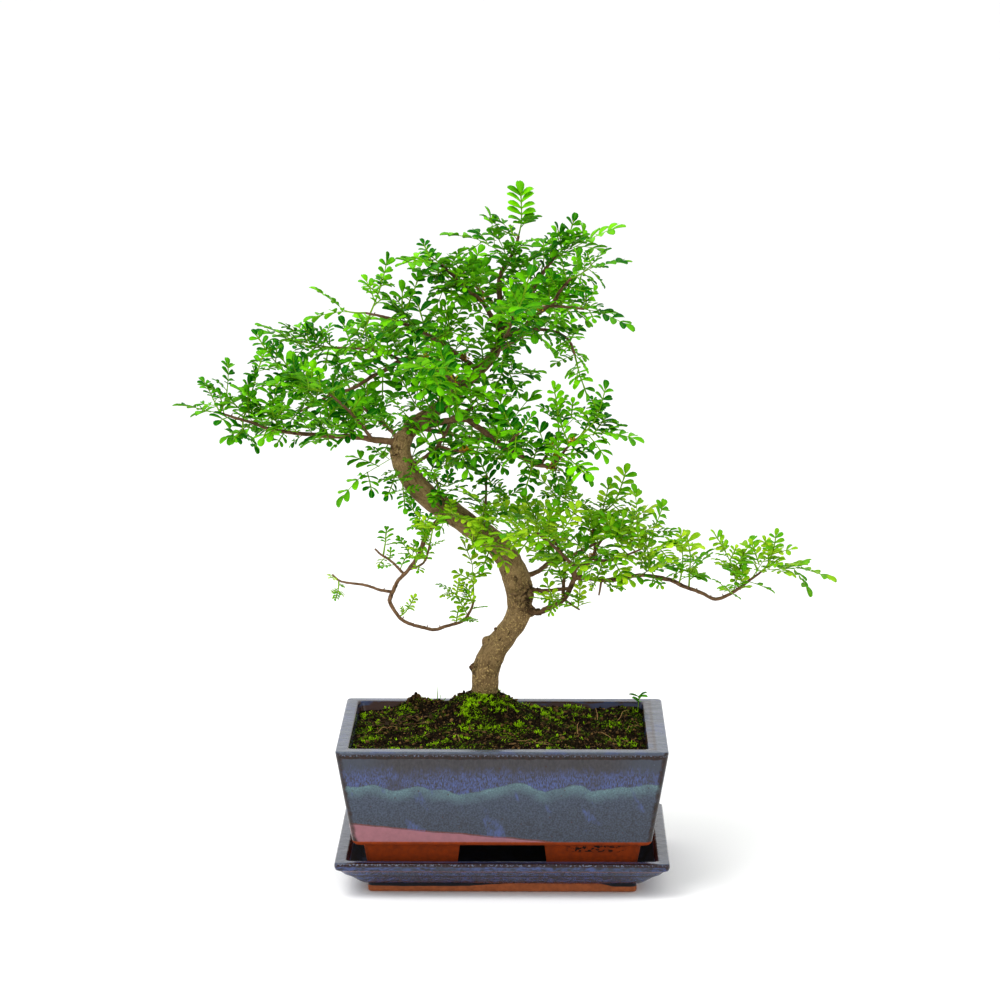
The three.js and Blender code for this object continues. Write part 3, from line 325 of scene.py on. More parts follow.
# Dry straws on the soil: start, end (x, y) and how high the middle stands.
STRAWS = [
    ((76, 24), (74, 58), 4), ((60, -28), (61, 22), 3), ((74, -12), (90, -40), 2), ((92, 22), (104, 52), 5),
    ((-40, -20), (-34, -44), 2), ((10, -40), (40, -46), 2), ((-104, -10), (-86, 6), 2),
    ((98, -2), (112, 10), 3),
]

# Old wounds, swollen forks and root swellings on the wood: x, y, z and radius.
KNOBS = [
    (16, 16, 213, 7.5), (10, 11, 226, 6), (20, 22, 206, 6), (17, 14, 222, 4.5), (-22, 29, 116, 6.5),
    (-8, 30, 113, 6), (-15, 44, 116, 7), (-26, 40, 112, 5.5), (-4, 40, 114, 5.5), (-13, 26, 158, 5),
    (-84, -12, 343, 5.5), (-70, -4, 361, 5), (-30, 9, 394, 4.2), (-3, 13, 428, 4.2), (-46, -8, 300, 4),
    (56, -13, 246, 3), (72, -21, 262, 2.4), (-51, -9, 301, 3.4), (24, 14, 210, 3.6), (-38, 8, 386, 4.4),
    (-104, -16, 353, 3), (-133, -25, 357, 2.6), (-19, 3, 276, 4),
]

# Old wounds whose bark is folded and dark: x, y, z and reach.
SCARS = [
    (20, 12, 221, 17), (30, 16, 212, 9), (-26, 30, 158, 8), (-28, 38, 128, 6), (-84, -12, 343, 9),
    (-72, -6, 360, 8), (-3, 11, 428, 6), (-50, -8, 302, 7),
]

# Green shoots with leaves of their own, by region: the branch, the share of its length at which
# the shoot starts, the x, y and z of its end, and the leaf length.
SHOOTS = {
    "leaves_left": [
        ("left_high", 1, -134, -40, 462, 30), ("left_high", 0.96, -91, -50, 486, 28),
        ("left_mid_shoot", 1, -180, 20, 432, 28), ("left_mid_shoot", 1, -166, 40, 428, 26),
        ("left_cross", 1, -190, 5, 423, 24), ("left_mid_shoot", 1, -148, 44, 429, 22),
        ("left_long", 1, -213, -30, 404, 24), ("left_long", 0.85, -191, -10, 412, 22),
        ("left_long", 0.85, -202, -44, 357, 24), ("left_long", 1, -229, -30, 393, 22),
        ("left_front", 1, -168, -60, 413, 24), ("left_cross", 1, -161, 10, 390, 24),
        ("left_long", 0.74, -176, -34, 389, 24), ("left_high", 0.79, -97, -30, 434, 22),
        ("left_high", 0.96, -114, -34, 430, 24),
    ],
    "leaves_crown": [
        ("leader", 1, -9, 18, 520, 18), ("crown_left", 0.79, -57, -20, 477, 28),
        ("crown_left", 0.74, -44, -30, 473, 26), ("left_high", 0.74, -67, -32, 472, 24),
        ("left_high", 0.39, -34, -15, 449, 26), ("left_high", 0.49, -43, -25, 455, 24),
        ("front_high", 0.18, -9, -16, 423, 26), ("left_high", 0.23, -20, -12, 428, 24),
        ("trunk", 0.91, 16, -10, 401, 30), ("front_high", 0.24, 2, -20, 412, 26),
        ("top_right", 1, 54, 10, 511, 26), ("top_right", 1, 52, 0, 501, 26),
        ("right_up", 1, 73, -10, 493, 24), ("right_tail", 1, 68, -40, 467, 22),
        ("right_hang", 1, 59, -26, 424, 22), ("left_high", 0.39, -32, -18, 445, 24),
        ("right_hang", 0.75, 56, -22, 441, 24),
    ],
    "leaves_middle": [
        ("right_mid", 0.15, -62, -20, 384, 28), ("front_mid", 0.24, -49, -24, 389, 26),
        ("inner_loop", 0.53, -62, -28, 352, 24), ("trunk", 0.61, -78, -26, 307, 20),
        ("loop", 0.14, -70, -30, 298, 18), ("trunk", 0.63, -87, -20, 317, 20),
        ("right_mid_out", 1, 79, -60, 388, 26), ("right_mid_out", 1, 68, -50, 374, 26),
        ("right_mid", 0.84, 16, -48, 334, 24), ("right_mid", 0.97, 42, -50, 328, 20),
        ("upright_b", 1, -21, -26, 326, 20), ("upright_b", 0.88, -2, -20, 315, 26),
        ("upright_a", 0.44, -43, -28, 309, 22), ("upright_a", 0.8, -56, -26, 318, 20),
        ("trunk", 0.65, -65, -24, 330, 20), ("trunk", 0.76, -77, -12, 390, 26),
        ("trunk", 0.73, -82, -16, 377, 24), ("left_mid", 0.16, -72, -8, 401, 24),
        ("right_mid_stub", 1, 6, -14, 391, 26), ("right_mid_up", 1, 42, -44, 387, 26),
        ("right_mid", 0.74, 15, -34, 356, 26), ("upright_a", 0.69, -37, -28, 317, 22),
        ("trunk", 0.73, -71, -20, 366, 22),
    ],
    "leaves_right": [
        ("pad_up", 1, 34, -10, 314, 30), ("pad_up", 1, 95, -30, 316, 28),
        ("pad_right", 1, 104, -40, 303, 28), ("pad_right", 1, 123, -30, 292, 26),
        ("pad_up", 0.75, 45, -20, 301, 28), ("pad_up", 1, 55, -10, 304, 28),
        ("pad_up", 1, 81, -25, 305, 26), ("pad_up", 0.62, 68, -40, 294, 26),
        ("pad_left_front", 0.81, 54, -50, 292, 26), ("pad_left_front", 0.9, 36, -44, 294, 26),
        ("pad_right", 0.79, 84, -50, 287, 26), ("knot_riser", 1, 21, 10, 291, 24),
        ("right_long", 0.11, 74, -20, 235, 20), ("right_long", 0.17, 89, -24, 235, 18),
        ("knot_twig", 0.81, 61, -14, 224, 20), ("right_long", 0.36, 114, -30, 258, 22),
        ("right_long", 0.5, 142, -30, 271, 22), ("upright_b", 0.53, 4, -6, 303, 22),
        ("trunk", 0.47, -10, -14, 292, 22), ("pad_left_front", 1, 9, -30, 285, 24),
        ("upright_b", 0.65, -24, -34, 306, 26), ("upright_b", 0.4, -15, -38, 290, 26),
        ("trunk", 0.53, -32, -34, 291, 24), ("trunk", 0.45, -19, -30, 269, 26),
        ("trunk", 0.44, -2, -26, 265, 26), ("right_long", 0.89, 172, -34, 272, 22),
        ("right_long", 0.79, 177, -36, 236, 20), ("right_long", 1, 214, -36, 272, 22),
        ("knot_twig", 0, 33, -30, 228, 22),
    ],
    "leaves_loop": [
        ("loop", 0.58, -72, -30, 223, 14), ("loop_left", 0.82, -129, -50, 236, 10),
        ("loop", 1, -44, -10, 231, 16), ("loop_front", 1, -63, -40, 281, 18),
        ("loop", 0.25, -78, -22, 268, 16),
    ],
}


def srgb(red, green, blue):
    """A colour as a picture editor shows it, 0 to 255 a channel, made linear."""

    def linear(channel):
        share = channel / 255
        return share / 12.92 if share <= 0.04045 else ((share + 0.055) / 1.055) ** 2.4

    return linear(red), linear(green), linear(blue)


def colour(name, description, red, green, blue):
    """A colour property with its default."""
    return FloatVectorProperty(
        name=name, description=description, subtype="COLOR", size=3, min=0, max=1,
        default=srgb(red, green, blue),
    )


def length(name, description, default):
    """A length property in metres."""
    return FloatProperty(name=name, description=description, default=default, unit="LENGTH")


class PotSettings(bpy.types.PropertyGroup):
    """Sizes and glazes of the pot and its saucer."""

    rim_thickness: length("Rim thickness", "Thickness of the pot's wall at its rim", WALL * MM)
    corner: length("Corner radius", "Radius of the pot's upright corners", 5.5 * MM)
    edge: length("Edge radius", "Radius of the rim's edges", 1.7 * MM)
    base_edge: length("Base radius", "Radius of the edge round the pot's base", 4 * MM)
    floor: length("Floor thickness", "Thickness of the pot's floor", FLOOR * MM)
    saucer_wall: length("Saucer wall", "Thickness of the saucer's wall at its rim", 9.2 * MM)
    saucer_corner: length("Saucer corner radius", "Radius of the saucer's corners", 4 * MM)
    slate: colour("Slate glaze", "Lower part of the pot's sides", 60, 68, 82)
    violet: colour("Blue streaks", "Streaks above the wavy line", 68, 80, 122)
    shade: colour("Glaze below the rim", "Dark band under the rim", 56, 54, 57)
    wave: colour("Wavy line", "Pale line where the glazes meet", 90, 114, 120)
    rim: colour("Rim glaze", "Top of the rim", 76, 84, 100)
    edge_brown: colour("Edges", "Glaze that ran thin on edges and corners", 56, 28, 16)
    lavender: colour("Thin glaze", "Wedge of thin glaze over the clay", 146, 98, 106)
    clay: colour("Clay", "Bare clay of the pot", 150, 62, 5)
    saucer_foot: colour("Saucer clay", "Bare clay of the saucer's foot", 168, 98, 58)
    gloss: FloatProperty(name="Glaze roughness", description="Lower is glossier", default=0.2)


class SoilSettings(bpy.types.PropertyGroup):
    """Soil, moss and what lies on them."""

    cell: length("Surface cell", "Distance between points of the soil's surface", 1.5 * MM)
    roughness: length("Crumb height", "Height of the soil's crumbs", 1.6 * MM)
    crumbs: IntProperty(name="Crumbs", description="Number of loose crumbs", default=2100)
    tuft_height: length("Moss height", "Length of the moss's shoots", 3.4 * MM)
    earth: colour("Earth", "Damp potting soil", 34, 26, 16)
    earth_light: colour("Dry earth", "Dry crumbs of the soil", 124, 98, 62)
    moss_dark: colour("Moss in shade", "Foot of the moss's shoots", 22, 40, 4)
    moss_light: colour("Moss tips", "Tips of the moss's shoots", 200, 255, 30)
    straw: colour("Straw", "Dry straws and fibres", 168, 134, 92)


class WoodSettings(bpy.types.PropertyGroup):
    """Trunk, branches and twigs."""

    cell: length("Bark cell", "Distance between points of the bark", 0.95 * MM)
    ridge: length("Bark ridges", "Height of the bark's lumps", 0.9 * MM)
    stout: FloatProperty(
        name="Stout radius", description="Branches thicker than this, in mm, are one skin",
        default=1.7,
    )
    bark: colour("Bark", "Bark of the trunk", 162, 138, 98)
    bark_dark: colour("Bark cracks", "Cracks and old bark", 90, 68, 46)
    lenticel: colour("Bark specks", "Pale specks on the bark", 214, 186, 126)
    twig: colour("Twigs", "Bark of thin branches", 132, 104, 78)
    algae: colour("Algae", "Green film on the trunk's foot", 62, 70, 24)


class LeafSettings(bpy.types.PropertyGroup):
    """Leaves, stalks and buds."""

    thickness: FloatProperty(
        name="Leaflet thickness", description="As a share of a leaflet's length", default=0.03
    )
    spread: FloatProperty(
        name="Leaf spacing", description="More than 1 gives fewer leaves", default=1.04, min=0.3
    )
    dark: colour("Dark leaf", "Old leaves", 14, 106, 0)
    light: colour("Light leaf", "Leaves in full light", 126, 212, 0)
    young_dark: colour("Dark young leaf", "Older leaves on the young shoots", 92, 168, 0)
    young_light: colour("Light young leaf", "Newest leaves", 186, 224, 44)
    underside: colour("Underside", "Lower face of the leaves", 114, 170, 36)
    stalk: colour("Stalk", "Leaf stalks and green shoots", 124, 160, 30)
    bud: colour("Buds", "Flower buds", 206, 160, 50)


class StageSettings(bpy.types.PropertyGroup):
    """Camera, floor and lights."""

    lens: FloatProperty(name="Lens", description="Focal length in millimetres", default=133.2)
    sky: FloatProperty(name="Sky strength", description="Light from all around", default=0.9)
    key: FloatProperty(name="Key light", description="Power of the large soft light", default=34)
    fill: FloatProperty(name="Fill light", description="Power of the front light", default=6)
    floor: colour("Floor", "Pale floor", 250, 250, 250)


def deselect_all():
    """Leaves object mode with nothing selected."""
    if bpy.context.object and bpy.context.object.mode != "OBJECT":
        bpy.ops.object.mode_set(mode="OBJECT")
    bpy.ops.object.select_all(action="DESELECT")


def only(piece):
    """Selects one object and makes it the active one."""
    deselect_all()
    piece.select_set(True)
    bpy.context.view_layer.objects.active = piece


def named(name):
    """Names the object that an operator has just added."""
    piece = bpy.context.object
    piece.name = piece.data.name = name
    return piece


def add_shape(kind, name, **settings):
    """Adds one of Blender's own shapes with nothing else selected."""
    deselect_all()
    getattr(bpy.ops.mesh, f"primitive_{kind}_add")(**settings)
    return named(name)


def open_all(piece):
    """Opens a mesh in edit mode with all of it selected."""
    only(piece)
    bpy.ops.object.mode_set(mode="EDIT")
    bpy.ops.mesh.select_all(action="SELECT")


def apply_place(piece):
    """Puts the object at the origin, unturned and unscaled, with its place in its mesh."""
    only(piece)
    bpy.ops.object.transform_apply(location=True, rotation=True, scale=True)


def pick(piece, kind, test):
    """Opens a mesh in edit mode with only the faces or edges that pass a test selected.

    A face is tested by its centre and normal, an edge by its two ends.
    """
    only(piece)
    mesh = piece.data
    for part in (mesh.vertices, mesh.edges, mesh.polygons):
        part.foreach_set("select", [False] * len(part))
    if kind == "faces":
        for face in mesh.polygons:
            face.select = test(face.center, face.normal)
    else:
        for edge in mesh.edges:
            edge.select = test(*(mesh.vertices[i].co for i in edge.vertices))
    bpy.context.tool_settings.mesh_select_mode = (False, kind == "edges", kind == "faces")
    bpy.ops.object.mode_set(mode="EDIT")


def finish_with(piece, kind, **settings):
    """Adds a modifier, sets it and applies it."""
    only(piece)
    modifier = piece.modifiers.new(kind.lower(), kind)
    for name, value in settings.items():
        setattr(modifier, name, value)
    bpy.ops.object.modifier_apply(modifier=modifier.name)


def mend(piece, angle=35):
    """Merges doubles, turns the faces outwards and smooths the shading up to an angle."""
    open_all(piece)
    bpy.ops.mesh.remove_doubles(threshold=0.00001)
    bpy.ops.mesh.normals_make_consistent(inside=False)
    only(piece)
    bpy.ops.object.shade_smooth_by_angle(angle=math.radians(angle))


def dress(piece, material, slot, *nodes):
    """Gives a finished piece its material and body, and hides the CAD nodes that it stands for; its slot
    is not used.
    """
    piece.data.materials.clear()
    piece.data.materials.append(material)
    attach(piece, "root")
    if nodes:
        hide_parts(*nodes)


def to_frame(points):
    """Millimetres from the pot's middle as metres in the part's frame."""
    return np.asarray(points, float) * MM + np.array([MIDDLE.x, MIDDLE.y, 0.0])


def mesh_arrays(piece):
    """The points and faces of a mesh object."""
    points = np.empty(3 * len(piece.data.vertices))
    piece.data.vertices.foreach_get("co", points)
    return points.reshape(-1, 3), [tuple(face.vertices) for face in piece.data.polygons]


def take_template(piece):
    """The points and faces of a piece that was modelled to be repeated, which is then removed."""
    deselect_all()
    arrays = mesh_arrays(piece)
    remove_piece(piece)
    return arrays


def remove_piece(piece):
    mesh = piece.data
    bpy.data.objects.remove(piece)
    bpy.data.meshes.remove(mesh)


class Heap:
    """Gathers copies of small shapes into one mesh, with a tone and leaf coordinates a point."""

    def __init__(self):
        self.points, self.faces, self.tones, self.places = [], [], [], []
        self.count = 0

    def add(self, points, faces, tone=(0, 0, 0, 0), place=(0.5, 0.5)):
        """Adds one copy. A tone or place is one for the whole copy or one a point."""
        number = len(points)
        self.points.append(points)
        self.faces.extend(tuple(i + self.count for i in face) for face in faces)
        self.tones.append(np.broadcast_to(np.asarray(tone, float), (number, 4)))
        self.places.append(np.broadcast_to(np.asarray(place, float), (number, 2)))
        self.count += number

    def add_bar(self, rings, tone=(0, 0, 0, 0)):
        """Adds a closed bar through rings of points, with the same number in each."""
        sides = len(rings[0])
        last = (len(rings) - 1) * sides
        faces = []
        for start in range(0, last, sides):
            for side in range(sides):
                a, b = start + side, start + (side + 1) % sides
                faces.append((a, b, b + sides, a + sides))
        faces.append(tuple(reversed(range(sides))))
        faces.append(tuple(range(last, last + sides)))
        self.add(np.concatenate(rings), faces, tone)

    def piece(self, name, angle=None):
        """The mesh object of all copies, from millimetres."""
        mesh = bpy.data.meshes.new(name)
        mesh.from_pydata(to_frame(np.concatenate(self.points)).tolist(), [], self.faces)
        mesh.update()
        made = bpy.data.objects.new(name, mesh)
        bpy.context.scene.collection.objects.link(made)
        tones = mesh.color_attributes.new("tone", "FLOAT_COLOR", "POINT")
        tones.data.foreach_set("color", np.concatenate(self.tones).ravel())
        corners = np.empty(len(mesh.loops), int)
        mesh.loops.foreach_get("vertex_index", corners)
        layer = mesh.uv_layers.new(name="leaf")
        layer.data.foreach_set("uv", np.concatenate(self.places)[corners].ravel())
        only(made)
        if angle is None:
            bpy.ops.object.shade_smooth()
        else:
            bpy.ops.object.shade_smooth_by_angle(angle=math.radians(angle))
        return made


def seeded_draw(seed):
    """A seeded draw between 0 and 1, the same as in the part's source."""
    state = seed & 0xFFFFFFFF

    def draw():
        nonlocal state
        state = (state * 1664525 + 1013904223) & 0xFFFFFFFF
        return state / 4294967296

    for _ in range(4):
        draw()
    return draw


def unit(vector):
    return vector / np.linalg.norm(vector)


def square_to(vector, axis):
    """The part of a direction that stands square to another one."""
    return unit(vector - axis * vector.dot(axis))


def direction(heading, rise):
    a, e = math.radians(heading), math.radians(rise)
    return np.array([math.cos(a) * math.cos(e), math.sin(a) * math.cos(e), math.sin(e)])


def along(points, share):
    """The point and radius at a share of the way along a branch."""
    scaled = share * (len(points) - 1)
    i = min(int(scaled), len(points) - 2)
    first, second = np.array(points[i], float), np.array(points[i + 1], float)
    row = first + (second - first) * (scaled - i)
    return row[:3], row[3]


def smooth_path(rows, step):
    """A branch's rows with rounded points between them, about a step apart."""
    rows = np.array(rows, float)
    padded = np.vstack([2 * rows[0] - rows[1], rows, 2 * rows[-1] - rows[-2]])
    path = [rows[0]]
    for i in range(len(rows) - 1):
        before, start, end, after = padded[i : i + 4]
        parts = max(1, round(np.linalg.norm(end[:3] - start[:3]) / step))
        for part in range(1, parts + 1):
            t = part / parts
            path.append(
                0.5 * (2 * start + (end - before) * t
                       + (2 * before - 5 * start + 4 * end - after) * t**2
                       + (3 * start - before - 3 * end + after) * t**3)
            )
    return np.array(path)


def bump(x, y, middle_x, middle_y, spread, height):
    """A round mound's height at a place."""
    return height * np.exp(-((x - middle_x) ** 2 + (y - middle_y) ** 2) / (2 * spread**2))


def soil_height(x, y):
    """The soil's surface, in millimetres."""
    crown = 3 * (1 - (x / 118) ** 2) * (1 - (y / 84) ** 2)
    ripple = 1.1 * np.sin(x / 7.3 + 0.6) * np.cos(y / 6.1) + 0.8 * np.sin(x / 17 + y / 12)
    mounds = bump(x, y, TRUNK_X, TRUNK_Y - 2, 26, 17) + bump(x, y, -72, 70, 9, 9)
    root_mound = bump(x, y, TRUNK_X, TRUNK_Y + 3, 19, 8) + bump(x, y, 72, 58, 34, 3)
    return SOIL_EDGE_Z + crown + ripple + mounds + root_mound + bump(x, y, -50, 62, 16, 4)


class Wire:
    """A node's output. Signs between wires and numbers add the Math nodes that work them out."""

    def __init__(self, tree, socket):
        self.tree = tree
        self.socket = socket

    def __add__(self, other):
        return math_of("ADD", self, other)

    def __sub__(self, other):
        return math_of("SUBTRACT", self, other)

    def __rsub__(self, other):
        return math_of("SUBTRACT", other, self)

    def __mul__(self, other):
        return math_of("MULTIPLY", self, other)

    def __abs__(self):
        return math_of("ABSOLUTE", self)


def plug(tree, socket, value):
    """Links a socket or sets its value."""
    if isinstance(value, Wire):
        tree.links.new(value.socket, socket)
    elif socket.type == "RGBA":
        socket.default_value = (*value[:3], 1)
    else:
        socket.default_value = value


def add_node(tree, kind, inputs=(), **settings):
    """Adds a node, sets it, fills its inputs by name or number, and gives its outputs."""
    made = tree.nodes.new("ShaderNode" + kind)
    for name, value in settings.items():
        setattr(made, name, value)
    for name, value in dict(inputs).items():
        plug(tree, made.inputs[name], value)
    return [Wire(tree, socket) for socket in made.outputs]


def math_of(operation, *values, clamp=False):
    tree = next(value.tree for value in values if isinstance(value, Wire))
    return add_node(tree, "Math", enumerate(values), operation=operation, use_clamp=clamp)[0]


def mix(share, first, second):
    """A colour between two others."""
    return add_node(share.tree, "Mix", {0: share, 6: first, 7: second}, data_type="RGBA")[2]


def step(value, low, high):
    """0 below low and 1 above high, with a soft change; the other way round if low is above high."""
    inputs = {"Value": value, "From Min": low, "From Max": high}
    return add_node(value.tree, "MapRange", inputs, interpolation_type="SMOOTHSTEP")[0]


def mapped(place, **inputs):
    """A place that is shifted, turned or stretched."""
    return add_node(place.tree, "Mapping", {"Vector": place, **inputs})[0]


def grain(place, size, detail=2.0, stretch=None, rough=0.5):
    """Noise whose lumps are about a size, in metres."""
    if stretch:
        place = mapped(place, Scale=stretch)
    inputs = {"Vector": place, "Scale": 1 / size, "Detail": detail, "Roughness": rough}
    return add_node(place.tree, "TexNoise", inputs)[0]


def specks(place, size, low, high):
    """Round specks, 1 inside and 0 outside, in cells of a size."""
    return step(add_node(place.tree, "TexVoronoi", {"Vector": place, "Scale": 1 / size})[0], high, low)


def between(value, low, high, soft):
    """1 where a value lies between two bounds."""
    return step(value, low - soft, low + soft) * step(value, high + soft, high - soft)


def shifted(value, noise, reach):
    """A value moved up and down by a noise, at most by half a reach."""
    return value + (noise * reach - reach / 2)


def axes_of(vector):
    """A vector's x, y and z."""
    return add_node(vector.tree, "SeparateXYZ", {0: vector})


def make_group(name, inputs, outputs):
    """A shader node group with named inputs and outputs: its tree, what comes in, and its end."""
    tree = bpy.data.node_groups.new(name, "ShaderNodeTree")
    for label, value in inputs.items():
        kind = "Vector" if value is None else "Color" if isinstance(value, tuple) else "Float"
        made = tree.interface.new_socket(label, in_out="INPUT", socket_type="NodeSocket" + kind)
        if value is not None:
            made.default_value = value
    for label, kind in outputs.items():
        tree.interface.new_socket(label, in_out="OUTPUT", socket_type="NodeSocket" + kind)
    entry = {socket.name: Wire(tree, socket) for socket in tree.nodes.new("NodeGroupInput").outputs}
    return tree, entry, tree.nodes.new("NodeGroupOutput").inputs


def use_group(tree, name, inputs):
    """Places a node group in a material. It is made when it is first used."""
    made = tree.nodes.new("ShaderNodeGroup")
    made.node_tree = bpy.data.node_groups.get(name) or GROUPS[name]()
    for label, value in inputs.items():
        plug(tree, made.inputs[label], value)
    return {socket.name: Wire(tree, socket) for socket in made.outputs}


def blank_material(name):
    """A material and the place of a point on its piece."""
    made = bpy.data.materials.new(name)
    made.use_nodes = True
    return made, add_node(made.node_tree, "TexCoord")[3]


def piece_material(name):
    """A material and the place of a point from the pot's middle."""
    made, place = blank_material(name)
    return made, mapped(place, Location=(-MIDDLE.x, -MIDDLE.y, 0))


def finish_material(made, colour, rough, specular, height, distance, strength=1.0):
    """Feeds a material's shader. The height's full step is a distance in metres."""
    tree = made.node_tree
    normal = add_node(tree, "Bump", {"Height": height, "Distance": distance, "Strength": strength})[0]
    fed = {"Base Color": colour, "Roughness": rough, "Specular IOR Level": specular, "Normal": normal}
    for label, value in fed.items():
        plug(tree, tree.nodes["Principled BSDF"].inputs[label], value)
    return made


def mottle_group():
    """Uneven colour: two shades mixed in soft patches."""
    tree, entry, leave = make_group(
        "mottle",
        {"Place": None, "Size": 0.01, "Contrast": 0.2, "Low": (0.1, 0.1, 0.1, 1),
         "High": (0.5, 0.5, 0.5, 1)},
        {"Colour": "Color"},
    )
    scale = math_of("DIVIDE", 1.0, entry["Size"])
    inputs = {"Vector": entry["Place"], "Scale": scale, "Detail": 4.0, "Roughness": 0.6}
    mask = step(add_node(tree, "TexNoise", inputs)[0], 0.5 - entry["Contrast"], entry["Contrast"] + 0.5)
    plug(tree, leave["Colour"], mix(mask, entry["Low"], entry["High"]))
    return tree


def mottled(place, size, contrast, low, high):
    """Two shades mixed in uneven patches of a size."""
    inputs = {"Place": place, "Size": size, "Contrast": contrast, "Low": low, "High": high}
    return use_group(place.tree, "mottle", inputs)["Colour"]


def thin_edge_group():
    """Where a glaze runs thin: the corners and the lip of a tapered rectangle."""
    tree, entry, leave = make_group(
        "thin_edge",
        {"Place": None, "Half Width": 0.13, "Lip Low": 0.117, "Lip High": 0.12,
         "Lip Width": 0.002, "Corner Width": 0.006},
        {"Inside": "Float", "Mask": "Float", "Lip": "Float"},
    )
    place, half, width = entry["Place"], entry["Half Width"], entry["Corner Width"]
    x, y, z = axes_of(place)
    from_side = half - abs(x)
    from_front = half - NARROWER - abs(y)
    inside = math_of("MINIMUM", from_side, from_front)
    ragged = grain(place, 0.006, 3.0)
    corner = step(shifted(from_side + from_front, ragged, 0.004), width, width * 0.5)
    near_lip = step(shifted(inside, ragged, 0.002), entry["Lip Width"], entry["Lip Width"] * 0.3)
    level = shifted(z, ragged, 0.0022)
    above = step(level, entry["Lip Low"], entry["Lip Low"] + 0.0006)
    lip = near_lip * above * step(level, entry["Lip High"] + 0.0006, entry["Lip High"])
    plug(tree, leave["Inside"], inside)
    plug(tree, leave["Lip"], lip)
    plug(tree, leave["Mask"], math_of("MAXIMUM", corner, lip))
    return tree


def pot_sides(place, hues):
    """The glaze of the pot's sides: dark at the top, blue streaks, a pale wavy line, slate."""
    x, _, z = axes_of(place)
    level = mapped(place, Scale=(1, 1, 0.05))
    upright = mapped(place, Scale=(1, 1, 0.4))
    fine = grain(place, 0.0014, 4.0, (1, 1, 0.6), 0.7)
    wave = grain(level, 0.046, 1.0) * 0.028 + grain(level, 0.019, 1.0) * 0.012
    above_wave = z - (wave + 0.0695)
    body = mottled(place, 0.0013, 0.2, hues.slate * 0.62, hues.slate * 1.35)
    low_body = mottled(place, 0.0013, 0.2, hues.shade * 0.7, hues.slate * 1.15)
    cloud = shifted(step(z, 0.084, 0.052), grain(place, 0.03, 3.0), 1.2)
    body = mix(step(cloud, 0.0, 1.0) * 0.6, body, low_body)
    pale = mottled(place, 0.0012, 0.2, hues.wave * 0.6, hues.wave * 1.15)
    patch = step(grain(place, 0.018, 2.0), 0.25, 0.6)
    line = step(shifted(above_wave, fine, 0.008), -0.011, 0.001) * step(above_wave, 0.0022, 0.0006)
    flow = mix(line * (patch * 0.55 + 0.45), body, pale)
    upper = mottled(upright, 0.0016, 0.22, hues.shade * 0.75, hues.shade * 1.15)
    upper = mix(step(abs(x), 0.080, 0.115) * 0.6, upper, hues.slate)
    streak = mottled(upright, 0.0010, 0.16, hues.shade * 0.85, hues.violet * 1.15)
    height = shifted(z, grain(upright, 0.004, 4.0), 0.016)
    often = step(grain(place, 0.014, 3.0), 0.3, 0.55) * 0.6 + 0.4
    upper = mix(step(height, 0.1095, 0.0975) * often, upper, streak)
    flow = mix(step(shifted(above_wave, fine, 0.005), 0.0006, 0.0022), flow, upper)
    slanted = mapped(place, Rotation=(0, 0.45, 0))
    lobes = shifted(grain(slanted, 0.015, 2.0, (1.2, 1, 0.5)), grain(upright, 0.0022, 3.0), 0.22)
    drip = mottled(upright, 0.0013, 0.2, hues.slate, hues.violet * 1.25)
    flow = mix(step(lobes, 0.60, 0.70) * step(z, 0.094, 0.084) * 0.85, flow, drip)
    flow = mix(specks(place, 0.008, 0.05, 0.12) * 0.6, flow, hues.edge_brown)
    return mix(specks(place, 0.017, 0.018, 0.03), flow, hues.rim)


